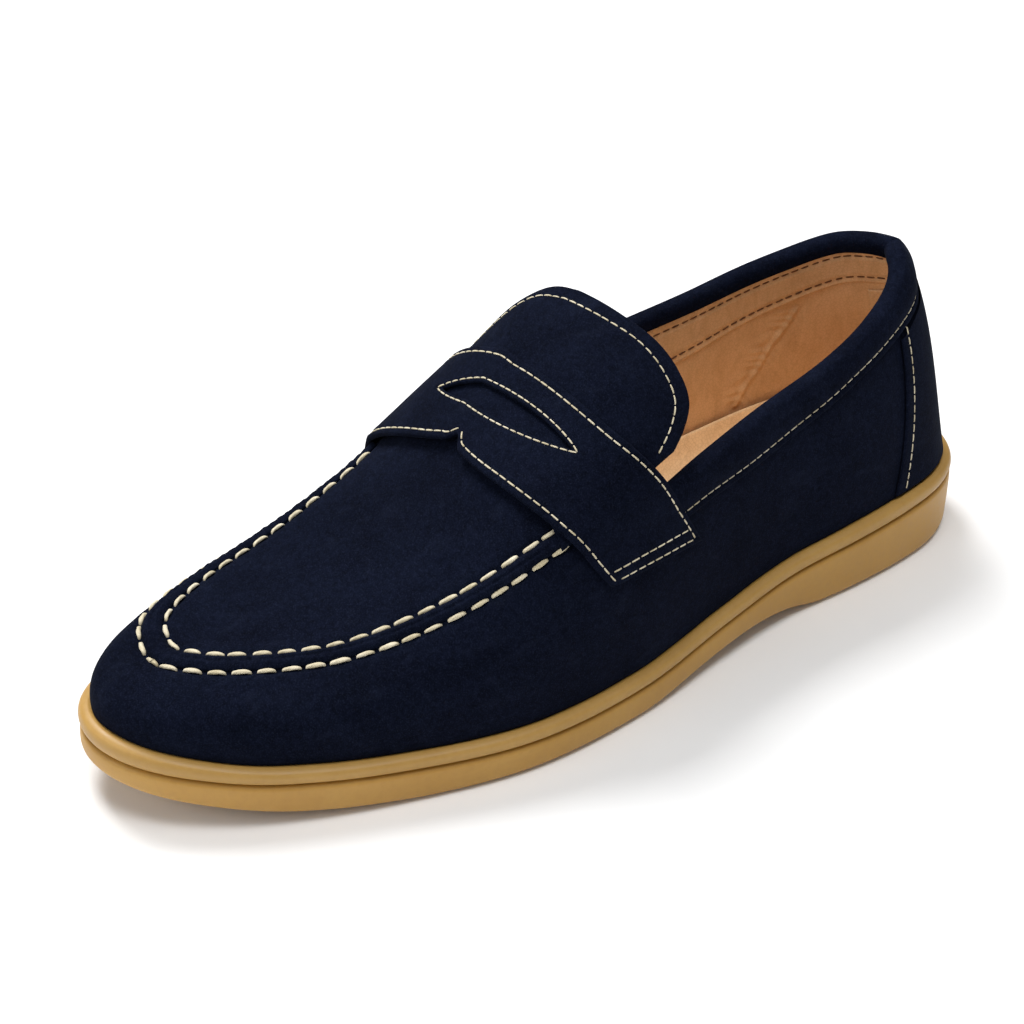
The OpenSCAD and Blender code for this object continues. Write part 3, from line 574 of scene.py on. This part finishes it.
# How far the underside is set in along the shoe, deeper where a tread plate sits.
POCKET = np.interp(SOLE_Y, [-150, -66, -61, 1, 8, 70, 77, 131, 138, 150],
                   [0.4, 0.4, 1.6, 1.6, 0.4, 0.4, 1.6, 1.6, 0.4, 0.4])
prof = [(7.6, LOW + POCKET), (7.2, LOW), (3.2, LOW)]
for a in np.linspace(0, 90, 7)[1:]:
    r = math.radians(a)
    prof.append((3.2 - 3.0 * math.sin(r), LOW + 2.6 * (1 - math.cos(r))))
for f in (0.2, 0.45, 0.7, 0.88):
    prof.append((0.2 + 0.25 * f**2, LOW + 2.6 + (MIDZ - 1.9 - LOW - 2.6) * f))
for a in np.linspace(0, 90, 7):
    r = math.radians(a)
    prof.append((0.5 + 1.5 * (1 - math.cos(r)), MIDZ - 1.9 + 1.55 * math.sin(r)))
prof += [(3.4, MIDZ - 0.3), (8, MIDZ - 0.25), (8.6, LOW + 4)]
P = rings(prof)
n, nv = P.shape[:2]
F = grid_faces(n, nv, True) + ladder(0, n, nv, False) + ladder(nv - 1, n, nv, True)
make("sole_lower", P, F, GUM_LOW, ["outsole"], weld=0)

prof = []
for a in np.linspace(-90, 60, 13):
    r = math.radians(a)
    mid, half = (MIDZ + TOPZ - 0.5) / 2, (TOPZ - 0.5 - MIDZ) / 2
    prof.append((3.0 - 2.4 * math.cos(r) ** 0.75, mid + half * math.sin(r)))
prof += [(2.6, TOPZ - 0.55), (3.3, TOPZ - 0.45), (3.9, TOPZ - 0.5), (4.3, TOPZ - 0.9),
         (8.2, TOPZ - 0.9), (8.2, MIDZ + 0.1)]
P = rings(prof)
n, nv = P.shape[:2]
make("sole_bead", P, grid_faces(n, nv, True, True), GUM, ["sole_rim"], weld=0)

# Footbed: dished sock with a soft rolled rim.
CUP = smooth([(-110, 0.4), (-60, 2.5), (-10, 8), (30, 10.5), (110, 10), (150, 8)], SOLE_Y)
LEAN = np.interp(np.abs(wrap(RING_S)), [120, 150, 180], [0, 2, 2.6])
# Inset, share of the cup's height and lean, and height above the rim.
prof = [(inset + share * LEAN, TOPZ + base + share * CUP) for inset, share, base in (
    (9.8, 0, 1), (9.5, 0.3, 1.4), (9.4, 0.6, 1.9), (9.35, 0.9, 2.2), (9.5, 1, 2.5),
    (9.9, 1, 2.6), (10.3, 0.96, 2.4), (10.8, 0.84, 2.3), (11.6, 0.66, 2.2), (12.6, 0.47, 2.15),
    (14, 0.3, 2.1), (15.8, 0.17, 2.05), (18, 0.08, 2), (21, 0.02, 1.95), (25, 0, 1.9))]
P = rings(prof)
n, nv = P.shape[:2]
make("footbed_sock", P, grid_faces(n, nv, True) + ladder(0, n, nv, False) + ladder(nv - 1, n, nv, True),
     SOCK, ["footbed"], weld=0)

# ---------------------------------------------------------------- upper
SEAM_S = np.linspace(-73.8, 82.4, 700)
SEAM_LINE = last(SEAM_S, seam_v(SEAM_S))
SEAM_T = np.gradient(SEAM_LINE, axis=0)
SEAM_T /= np.linalg.norm(SEAM_T, axis=1, keepdims=True)
SEAM_N = normal(SEAM_S, seam_v(SEAM_S))
SEAM_B = -np.cross(SEAM_N, SEAM_T)          # across the seam, towards the sole
ROW_GAP = np.interp(np.abs(SEAM_S), [0, 25, 50, 85], [1, 0.88, 0.73, 0.66])[:, None]
ROW_OUT = SEAM_LINE + SEAM_B * 4.0 * ROW_GAP
ROW_IN = SEAM_LINE - SEAM_B * 4.0 * ROW_GAP
HAND_PITCH = 6.5


def steps_of(path, pitch):
    total = walk(path)[-1]
    return total / max(1, math.floor(total / pitch))


HAND_OUT, HAND_IN = steps_of(ROW_OUT, HAND_PITCH), steps_of(ROW_IN, HAND_PITCH)


def hand_relief(base):
    """Grooves and puckers where the thick hand stitching pulls the suede down."""
    out = np.zeros(base.shape[:-1])
    for line, step in ((ROW_OUT, HAND_OUT), (ROW_IN, HAND_IN)):
        d, a = near(base, line)
        hole = 0.5 - 0.5 * np.cos(2 * np.pi * (a / step + 0.5))   # 1 between stitches
        hole = 1 - hole
        out -= (0.34 + 0.42 * hole) * np.exp(-((d / 0.95) ** 2))
        out += 0.16 * np.exp(-(((d - 2.6) / 1.4) ** 2)) * (0.6 + 0.4 * hole)
    return out


def crease(lines, depth=0.22, width=0.55):
    def relief(base):
        out = np.zeros(base.shape[:-1])
        for line in lines:
            d, a = near(base, line)
            out -= depth * np.exp(-((d / width) ** 2)) * (0.85 + 0.15 * np.cos(2 * np.pi * a / 3.0))
            out += 0.3 * depth * np.exp(-(((d - 1.5) / 0.8) ** 2))
        return out
    return relief


def both(*reliefs):
    return lambda base: sum(r(base) for r in reliefs)


def waves(scale, amount, seed):
    """Slow hand-made unevenness of the leather, made of a few sine waves."""
    g = np.random.default_rng(seed)
    k = g.normal(size=(6, 3)) / scale
    ph = g.uniform(0, 6.28, 6)
    return lambda base: amount * sum(np.sin(base @ k[i] + ph[i]) for i in range(6)) / 3


# Wrap: mudguard in front, quarters behind, in one sheet.
s = np.linspace(0, 360, 541)[:-1]
top_v = wrap_v(s)
rows = np.concatenate([np.linspace(0, 0.55, 26), np.linspace(0.57, 1, 40)])
S, V = np.broadcast_arrays(s[:, None], top_v[:, None] * rows[None, :])
slab("suede_wrap", S, V, -SUEDE_THICK, 0.0, SUEDE, ["upper_wrap"], ring=True,
     relief=both(hand_relief, waves(9, 0.12, 3)))

# Apron on top of the toe, meshed as a dome round the ridge.
RIBS, ROWS = 150, 44
ang = 88.0 * (np.arange(2 * RIBS + 1) - RIBS) / RIBS
start = seam_v(ang) + 0.004
f = np.linspace(0, 1, ROWS + 1) ** 1.15
S, V = np.broadcast_arrays(ang[:, None], start[:, None] * (1 - f) + f)
base, nn = last(S, V), normal(S, V)
lift = hand_relief(base) + waves(11, 0.14, 5)(base)
lift[:, -1] = (lift[:, -1] + lift[::-1, -1]) / 2
nn[:, -1] = nn[:, -1] + nn[::-1, -1]
nn[:, -1] /= np.linalg.norm(nn[:, -1], axis=-1, keepdims=True)
outer = base + nn * lift[..., None]
inner = base - nn * SUEDE_THICK
nu, nv = base.shape[:2]
faces = grid_faces(nu, nv) + grid_faces(nu, nv, base=nu * nv, flip=True)
o = nu * nv
faces += [(i * nv, i * nv + o, (i + 1) * nv + o, (i + 1) * nv) for i in range(nu - 1)]
make("suede_apron", np.concatenate([outer.reshape(-1, 3), inner.reshape(-1, 3)]), faces, SUEDE,
     ["apron_plug"], weld=0.00003)

# Raised moccasin seam between the two rows of hand stitches, gathered by the thread.
run = walk(SEAM_LINE)
wobble = np.random.default_rng(11).normal(size=400)
fold = np.interp(run, np.linspace(0, run[-1], 400), np.convolve(wobble, [0.25, 0.5, 0.25], "same"))
q = np.linspace(-1, 1, 25)
ring_b = 3.3 * np.sign(q) * np.abs(q) ** 0.85
shape = np.cos(q * np.pi / 2) ** 0.62
pinch = 0.5 - 0.5 * np.cos(2 * np.pi * run / HAND_OUT)
h = 1.75 + 0.22 * pinch[:, None] * np.abs(q)[None, :] + 0.09 * fold[:, None]
hill = h * shape[None, :] - 0.25
# The dip is where the two edges meet.
dip = -0.42 * np.exp(-((q / 0.16) ** 2))[None, :] * (0.75 + 0.25 * fold[:, None])
rip = 0.10 * np.sin(run[:, None] * 2.1 + 3 * q[None, :] + fold[:, None]) * shape[None, :]
pts = (SEAM_LINE[:, None] + SEAM_B[:, None] * ring_b[None, :, None] * ROW_GAP[:, None]
       + SEAM_N[:, None] * (hill + dip + rip)[..., None])
low = (SEAM_LINE[:, None] + SEAM_B[:, None] * ring_b[None, ::-1, None] * 0.9 * ROW_GAP[:, None]
       + SEAM_N[:, None] * -0.35)
P = np.concatenate([pts, low[:, 1:-1]], 1)
nu, nv = P.shape[:2]
F = grid_faces(nu, nv, False, True) + [tuple(range(nv))[::-1], tuple((nu - 1) * nv + j for j in range(nv))]
make("suede_moc_seam", P, F, SUEDE, ["moc_seam"], weld=0)


# ---------------------------------------------------------------- stitches
# Pitch and thread radius of the machine stitches.
FINE = 3.1
FINE_RADIUS = 0.23


def stitch_row(name, paths, normals, pitch, share, r, lift, mat, replaces, sink, around, cuts,
               twist, jitter=0.05, leaf=False):
    """One mesh of separate stitches, each a plump thread that dives into the leather at both ends."""
    verts, faces = [], []
    g = np.random.default_rng(len(name))
    for path, nor in zip(paths, normals):
        runs = walk(path)
        step = steps_of(path, pitch)
        count = int(round(runs[-1] / step))
        for k in range(count):
            c = (k + 0.5 + g.normal() * jitter * 0.5) * step
            half = share * step / 2 * (1 + g.normal() * jitter)
            t = np.linspace(-1, 1, cuts)
            a = np.clip(c + half * np.sin(t * np.pi / 2), 0, runs[-1])
            mid = np.stack([np.interp(a, runs, path[:, i]) for i in range(3)], 1)
            up = np.stack([np.interp(a, runs, nor[:, i]) for i in range(3)], 1)
            up /= np.linalg.norm(up, axis=1, keepdims=True)
            tan = np.gradient(mid, axis=0)
            tan /= np.linalg.norm(tan, axis=1, keepdims=True) + 1e-9
            side = np.cross(tan, up)
            side /= np.linalg.norm(side, axis=1, keepdims=True) + 1e-9
            plump = np.cos(t * np.pi / 2) ** 0.62 if leaf else np.sqrt(np.clip(1 - np.abs(t) ** 2.6, 0, 1))
            rr = r * (0.22 + 0.78 * plump) * (1 + g.normal() * jitter)
            centre = mid + up * (lift - (sink + lift) * np.abs(t)[:, None] ** (2.2 if leaf else 4))
            th = np.linspace(0, 2 * np.pi, around, endpoint=False)
            base = len(verts)
            for i in range(cuts):
                strand = 1 + 0.10 * np.cos(3 * (th - twist * t[i]))
                ringpts = (centre[i] + side[i] * (rr[i] * strand * np.cos(th) * 1.05)[:, None]
                           + up[i] * (rr[i] * strand * np.sin(th) * 0.92)[:, None])
                verts.extend(ringpts.tolist())
            faces += grid_faces(cuts, around, False, True, base)
            faces.append(tuple(base + j for j in range(around))[::-1])
            faces.append(tuple(base + (cuts - 1) * around + j for j in range(around)))
    return make(name, verts, faces, mat, replaces, weld=0)


def hand_row(name, path, nor, node):
    """Thick stitches sewn by hand beside the moccasin seam."""
    stitch_row(name, [path], [nor], HAND_PITCH, 0.78, 0.62, 0.2, CREAM, [node],
               0.75, 12, 13, 2.2, leaf=True)


def fine_row(name, paths, normals, node, pitch=FINE, radius=FINE_RADIUS):
    """Cream machine stitches."""
    stitch_row(name, paths, normals, pitch, 0.86, radius, 0.1, CREAM, [node],
               0.3, 8, 7, 1.0)


def lining_row(name, path, nor, node):
    """Brown stitches on the foot's side of the lining; their dark brown is partly the thread's own colour,
    partly painted shade of the stitch holes.
    """
    stitch_row(name, [path], [nor], 3.4, 0.78, 0.26, 0.08, BROWN_THREAD_HOLE_SHADE, [node],
               0.3, 8, 7, 1.0)


keep = slice(4, -3)
hand_row("hand_stitches_outer", ROW_OUT[keep], SEAM_N[keep], "apron_thread_outer")
hand_row("hand_stitches_inner", ROW_IN[keep], SEAM_N[keep], "apron_thread_inner")


def strap_line(h, f):
    return across(strap_phi(h, f), h * (1 + STRAP_TILT * (f - 0.45)) + STRAP_SHIFT)


def on(s_, v_, off):
    return skin(s_, v_, np.broadcast_to(off, np.shape(s_))), normal(s_, v_)


# ---------------------------------------------------------------- strap
def strap_width(h):
    """Width of the strap in millimetres where it crosses at h."""
    a = last(*across(strap_phi(h, 0.0 * h), h + STRAP_SHIFT))
    b = last(*across(strap_phi(h, 0.0 * h + 1), h + STRAP_SHIFT))
    return np.linalg.norm(a - b, axis=-1)


hs = np.linspace(-STRAP_SIDE, STRAP_SIDE, 401)
WIDTH = np.interp(np.linspace(-STRAP_SIDE, STRAP_SIDE, 2001), hs, strap_width(hs))
width_at = lambda h: np.interp(h, np.linspace(-STRAP_SIDE, STRAP_SIDE, 2001), WIDTH)


def slot_f(h, half_open, reach_h):
    """Shares of the front and rear lip of a lens centred on the slot."""
    q = np.clip(1 - ((h - SLOT_MID) / reach_h) ** 2, 0, 1)
    c = (slot_phi(h) - strap_phi(h, 0)) / (strap_phi(h, 1) - strap_phi(h, 0))
    w = half_open * q**0.85 / width_at(h)
    return c - w, c + w


SLOT_OPEN = 3.6
hcols = np.unique(np.concatenate([
    STRAP_SIDE * (2 * fractions(150, 180) - 1), np.linspace(-0.06, 0.06, 41),
    *[SLOT_MID + SLOT_HALF * k * np.array([-1, 1]) for k in (1, 0.985, 0.96)]]))
f1, f2 = slot_f(hcols, SLOT_OPEN, SLOT_HALF)
fr = fractions(12, 10)
Hf = hcols[:, None] + 0 * fr[None, :]
front_f = f1[:, None] * fr[None, :]
rear_f = f2[:, None] + (1 - f2)[:, None] * fr[None, :]
edge_h = np.linspace(-STRAP_SIDE, STRAP_SIDE, 500)
e_front = last(*strap_line(edge_h, 0 * edge_h))
e_rear = last(*strap_line(edge_h, 0 * edge_h + 1))
ends = [last(*strap_line(g * STRAP_SIDE + 0 * fr, fr)) for g in (-1, 1)]
lens_h = SLOT_MID + SLOT_HALF * np.sin(np.linspace(-np.pi / 2, np.pi / 2, 160))
l1, l2 = slot_f(lens_h, SLOT_OPEN, SLOT_HALF)
lens_edge = [last(*strap_line(lens_h, l1)), last(*strap_line(lens_h, l2))]

side_in = 2.3   # stitch rows run this far inside the edge
rowsh = np.linspace(-0.662, 0.662, 420)
row_rear = strap_line(rowsh, 1 - side_in / width_at(rowsh))
cusp_gap = 0.006
left = np.linspace(-0.662, -cusp_gap, 220)
right = np.linspace(cusp_gap, 0.662, 220)
row_front_l = strap_line(left, side_in / width_at(left))
row_front_r = strap_line(right, side_in / width_at(right))
stitch_reach = SLOT_HALF + 0.02
sl = SLOT_MID + stitch_reach * np.sin(np.linspace(-np.pi / 2, np.pi / 2, 200))
s1, s2 = slot_f(sl, SLOT_OPEN + 1.4, stitch_reach)
slot_rows = [strap_line(sl, s1), strap_line(sl, s2)]
end_rows = []
for g in (-1, 1):
    for h_ in (0.662, 0.63):
        ff = np.linspace(0.10, 0.92, 60)
        end_rows.append(strap_line(g * h_ + 0 * ff, ff))
strap_rows = [row_rear, row_front_l, row_front_r]
strap_paths = [last(*r_) for r_ in strap_rows + slot_rows + end_rows]
STRAP_THICK = 1.9
strap_relief = both(crease(strap_paths, 0.26, 0.6), waves(10, 0.08, 9))
parts = []
for ff in (front_f, rear_f):
    s_, v_ = strap_line(Hf, ff)
    base, nn = last(s_, v_), normal(s_, v_)
    d = np.min([near(base, e)[0] for e in [e_front, e_rear] + ends + lens_edge], axis=0)
    k = np.sqrt(np.clip(1 - (1 - np.clip(d / 0.95, 0, 1)) ** 2, 0, 1))
    under = strap_under(Hf)
    mid = under + STRAP_THICK / 2
    up = mid + STRAP_THICK / 2 * k + strap_relief(base) * k
    dn = mid - STRAP_THICK / 2 * k
    tight = k < 2e-2
    up, dn = np.where(tight, mid, up), np.where(tight, mid, dn)
    parts.append((base + nn * up[..., None], base + nn * dn[..., None]))
verts, faces = [], []
for outer, inner in parts:
    nu, nv = outer.shape[:2]
    b0 = len(verts)
    verts.extend(outer.reshape(-1, 3).tolist())
    faces += grid_faces(nu, nv, base=b0)
    b0 = len(verts)
    verts.extend(inner.reshape(-1, 3).tolist())
    faces += grid_faces(nu, nv, base=b0, flip=True)
make("suede_saddle_strap", verts, faces, SUEDE, ["saddle_strap"], weld=0.00004)


def rows_on(lines, off):
    ps, ns = [], []
    for s_, v_ in lines:
        p_, n_ = on(s_, v_, off)
        ps.append(p_)
        ns.append(n_)
    return ps, ns


def strap_rows_on(lines, hvals):
    ps, ns = [], []
    for (s_, v_), h_ in zip(lines, hvals):
        p_, n_ = on(s_, v_, strap_under(h_) + STRAP_THICK - 0.16)
        ps.append(p_)
        ns.append(n_)
    return ps, ns


ps, ns = strap_rows_on(strap_rows, [rowsh, left, right])
fine_row("strap_edge_stitches", ps, ns, "strap_edge_thread")
ps, ns = strap_rows_on(slot_rows, [sl, sl])
fine_row("slot_stitches", ps, ns, "slot_thread", FINE * 0.85, 0.22)
ps, ns = strap_rows_on(end_rows, [g * h_ + np.zeros(60) for g in (-1, 1) for h_ in (0.662, 0.63)])
fine_row("strap_end_stitches", ps, ns, "strap_end_thread")

# ---------------------------------------------------------------- tongue
THALF = 0.462
tongue_columns = THALF * (2 * fractions(95, 150) - 1)
H, Fr = np.meshgrid(tongue_columns, fractions(38, 34), indexing="ij")
phi = (TONGUE_FRONT + TONGUE_SKEW * H) * (1 - Fr) + tongue_phi(H) * Fr
s_, v_ = across(phi, H + STRAP_SHIFT)
th = np.linspace(-THALF, THALF, 500)
t_edge = last(*across(tongue_phi(th), th + STRAP_SHIFT))
t_front = last(*across(TONGUE_FRONT + TONGUE_SKEW * th, th + STRAP_SHIFT))
ff = np.linspace(0, 1, 60)


def tongue_side(g):
    """Side edge of the tongue, from its front to its rear."""
    sides = (TONGUE_FRONT + TONGUE_SKEW * g) * (1 - ff) + tongue_phi(g + 0 * ff) * ff
    return last(*across(sides, g + 0 * ff + STRAP_SHIFT))


t_sides = [tongue_side(-THALF), tongue_side(THALF)]
# Stitch row a little inside the tongue's edge.
tr_s, tr_v = across(tongue_phi(th) - 2.2, th * 0.945 + STRAP_SHIFT)
t_row = last(tr_s, tr_v)
slab("suede_tongue", s_, v_, 0.1, 1.75, SUEDE, ["tongue"],
     edge=[t_edge, t_front] + t_sides, radius=0.9,
     relief=both(crease([t_row], 0.24, 0.6), waves(12, 0.1, 13)))
p_, n_ = on(tr_s, tr_v, 1.6)
fine_row("tongue_stitches", [p_], [n_], "tongue_thread")

# ---------------------------------------------------------------- padded collar
a = np.linspace(93, 267, 361)
sa = wrap(a)
EV, BV = edge_v(sa), band_v(sa)
low_v = BV - 0.012
t_a = np.gradient(last(sa, EV), axis=0)
t_a /= np.linalg.norm(t_a, axis=1, keepdims=True)
N = normal(sa, EV)
U = np.cross(N, t_a)
C = last(sa, EV)
tall = np.linalg.norm(C - last(sa, low_v), axis=1)
STITCH_IN = 2.4                                     # stitch row above the band's lower edge


def padding(d, tall):
    """Height of the padded band above the leather, d up from its lower edge."""
    lip = 1.0 * np.sqrt(np.clip(1 - (1 - np.clip(d / 0.8, 0, 1)) ** 2, 0, 1))
    groove = -0.42 * np.exp(-(((d - STITCH_IN) / 0.75) ** 2))
    f_ = np.clip((d - STITCH_IN) / (tall - STITCH_IN), 0, 1)
    full = lip + groove + 1.25 * np.sin(np.pi * np.clip(f_ * 0.78, 0, 1)) ** 0.7
    return full * np.interp(np.abs(sa), [94, 101], [0.12, 1])


dist_up = np.concatenate([[0, 0.12, 0.3, 0.55, 0.8, 1.2], np.linspace(1.5, 3.4, 11)])
rowsP = []
for d in dist_up:
    rowsP.append(skin(sa, low_v + (EV - low_v) * d / tall, padding(d, tall)))
for w in np.linspace(0, 1, 13)[1:]:
    d = 3.4 + (tall - 3.4) * w
    rowsP.append(skin(sa, low_v + (EV - low_v) * d / tall, padding(d, tall)))
top_off = rowsP[-1] - C
out0 = (top_off * N).sum(-1)
for ang_ in np.linspace(0, 180, 19)[1:]:
    r_ = math.radians(ang_)
    x_ = -1.85 + (out0 + 1.85) * math.cos(r_) if ang_ <= 90 else -1.85 + 2.85 * math.cos(r_)
    z_ = (ROLL_HEIGHT - 0.05) * math.sin(r_)
    rowsP.append(C + N * np.broadcast_to(x_, out0.shape)[:, None] + U * z_)
for z_ in (-0.8, -1.7, -2.2):
    rowsP.append(C + N * (-4.95 if z_ > -2 else -4.2) + U * z_)
rowsP.append(C + N * -3.0 + U * -1.8)
rowsP.append(C + N * -0.4 + U * -1.4)
rowsP.append(skin(sa, low_v + 0.01, np.full(sa.shape, 0.05)))
P = np.stack(rowsP, 1)
nu, nv = P.shape[:2]
F = grid_faces(nu, nv, False, True) + [tuple(range(nv))[::-1], tuple((nu - 1) * nv + j for j in range(nv))]
collar = make("suede_collar", P, F, SUEDE, ["collar_band", "collar_roll"], weld=0)
row_v = low_v + (EV - low_v) * STITCH_IN / tall
m = slice(2, -2)
collar_row = skin(sa, row_v, padding(STITCH_IN, tall))
fine_row("collar_stitches", [collar_row[m]], [normal(sa, row_v)[m]], "collar_thread")

# ---------------------------------------------------------------- backstay
fv = fractions(52, 40)
fu = fractions(70, 70)
FU, FV = np.meshgrid(fu, fv, indexing="ij")
side_s = wrap(BACKSTAY_FOOT + 2 * (180 - BACKSTAY_FOOT) * FU)
VV = 0.008 + (band_v(side_s) - 0.005 - 0.008) * FV
AA = (BACKSTAY_FOOT + BACKSTAY_LEAN * VV) * (1 - FU) + (360 - BACKSTAY_FOOT - BACKSTAY_LEAN * VV) * FU
vv = np.linspace(0.008, 0.44, 120)
b_edges = [last(g * (BACKSTAY_FOOT + BACKSTAY_LEAN * vv), vv) for g in (1, -1)]
vr = np.linspace(0.012, 0.40, 120)
b_rows = [(g * (BACKSTAY_FOOT + 2.5 + BACKSTAY_LEAN * vr), vr) for g in (1, -1)]
slab("suede_backstay", wrap(AA), VV, 0.05, 1.3, SUEDE, ["backstay"], edge=b_edges, radius=0.8,
     relief=both(crease([last(*r_) for r_ in b_rows], 0.24, 0.6), waves(12, 0.08, 17)))
ps, ns = rows_on(b_rows, 1.15)
fine_row("backstay_stitches", ps, ns, "backstay_thread")

# ---------------------------------------------------------------- lining
s = np.linspace(89, 271, 547)
SV = strip_v(wrap(s))
f = np.linspace(0, 1, 90)
S, V = np.broadcast_arrays(s[:, None], 0.03 + (SV + 0.012 - 0.03)[:, None] * f[None, :])
pleat_v = np.linspace(0.08, 0.3, 80) + 0.004 * np.sin(np.linspace(0, 14, 80))
pleat = last(np.linspace(-125, -136.5, 80), pleat_v)


def lining_relief(base):
    d, al = near(base, pleat)
    out = -0.42 * np.exp(-((d / 0.9) ** 2)) + 0.2 * np.exp(-(((d - 2) / 1.3) ** 2))
    out += 0.15 * np.exp(-((d / 6) ** 2)) * np.sin(al * 1.6 + 2.2 * np.sin(al * 0.37) + d * 0.8)
    return out + waves(14, 0.25, 21)(base)


slab("lining_quarters", S, V, LINING_BACK, LINING_FACE, LINING, ["quarter_lining"],
     under=lining_relief)
s = np.linspace(92, 268, 353)
SV, EVV = strip_v(wrap(s)) - 0.004, edge_v(wrap(s))
f = fractions(14, 16, (0.15, 0.4, 0.8, 1.3))
S, V = np.broadcast_arrays(s[:, None], SV[:, None] + (EVV - 0.01 - SV)[:, None] * f[None, :])
lr = wrap(np.linspace(96, 264, 340))
row_hi = skin(lr, edge_v(lr) - 0.045, np.full(lr.shape, 0.0))
row_lo = skin(lr, strip_v(lr) + 0.014, np.full(lr.shape, 0.0))
cr = crease([row_hi, row_lo], 0.42, 0.75)
slab("lining_collar_strip", S, V, STRIP_BACK, LINING_FACE, LINING, ["collar_lining"],
     under=lambda b: -cr(b))
ROW_BACK = np.full(lr.shape, -4.1)
lining_row("lining_stitches_upper", skin(lr, edge_v(lr) - 0.045, ROW_BACK), -normal(lr, edge_v(lr)),
           "lining_thread_upper")
lining_row("lining_stitches_lower", skin(lr, strip_v(lr) + 0.014, ROW_BACK), -normal(lr, strip_v(lr)),
           "lining_thread_lower")
s = np.linspace(160, 200, 81)
top_g = strip_v(wrap(s)) - 0.03
f = fractions(40, 30)
S, V = np.broadcast_arrays(s[:, None], 0.16 + (top_g - 0.16)[:, None] * f[None, :])
g_edges = [last(wrap(s), top_g), last(wrap(s), 0 * s + 0.16),
           last(160 + 0 * f, V[0]), last(-160 + 0 * f, V[-1])]
slab("heel_grip_pad", wrap(S), V, -4.95, -4.05, GRIP, ["heel_grip"],
     edge=g_edges, radius=0.7)

# ---------------------------------------------------------------- floor, light and camera
fl = bpy.data.meshes.new("studio_floor")
size = 6.0
bm = bmesh.new()
bmesh.ops.create_grid(bm, x_segments=8, y_segments=8, size=size)
bm.to_mesh(fl)
bm.free()
floor = bpy.data.objects.new("studio_floor", fl)
bpy.context.scene.collection.objects.link(floor)


def paper(nt, p, co):
    n = noise(nt, co, 30, 3, 0.5)
    nt.links.new(ramp(nt, n, [(0.3, (0.93, 0.93, 0.93)), (0.7, (0.95, 0.95, 0.95))]), p.inputs["Base Color"])
    p.inputs["Roughness"].default_value = 0.9
    p.inputs["Specular IOR Level"].default_value = 0.1


floor.data.materials.append(material("studio_paper", paper))

world = bpy.data.worlds.new("studio")
bpy.context.scene.world = world
world.use_nodes = True
world.node_tree.nodes["Background"].inputs[0].default_value = (1, 1, 1, 1)
world.node_tree.nodes["Background"].inputs[1].default_value = 0.28


def area(name, place, target, size_, power, colour=(1, 1, 1)):
    l = bpy.data.lights.new(name, "AREA")
    l.shape = "RECTANGLE"
    l.size, l.size_y = size_
    l.energy = power
    l.color = colour
    o_ = bpy.data.objects.new(name, l)
    bpy.context.scene.collection.objects.link(o_)
    o_.location = place
    o_.rotation_euler = (Vector(target) - Vector(place)).to_track_quat("-Z", "Y").to_euler()
    return o_


area("soft_key", (-1.3, -0.1, 2.1), (0, 0, 0.03), (0.9, 0.9), 50)
area("soft_top", (0.3, 0.0, 2.2), (0, 0, 0.03), (0.9, 0.9), 22)
area("soft_left", (0.0, -1.5, 1.0), (0, 0, 0.04), (0.9, 0.9), 6)

az, el, dist = math.radians(60.4), math.radians(34.6), 0.538
back = Vector((math.sin(az) * math.cos(el), -math.cos(az) * math.cos(el), math.sin(el)))
right = Vector((math.cos(az), math.sin(az), 0))
upv = back.cross(right)
target = Vector((-0.00654, 0, 0.04)) + right * -0.01135 + upv * -0.00114
cam = bpy.data.cameras.new("camera")
cam.lens = 63.14
cam.sensor_width = 36
cam.clip_start = 0.01
camera = bpy.data.objects.new("camera", cam)
bpy.context.scene.collection.objects.link(camera)
camera.location = target + back * dist
camera.rotation_euler = back.to_track_quat("Z", "Y").to_euler()
bpy.context.scene.camera = camera
bpy.context.scene.view_settings.view_transform = "Standard"
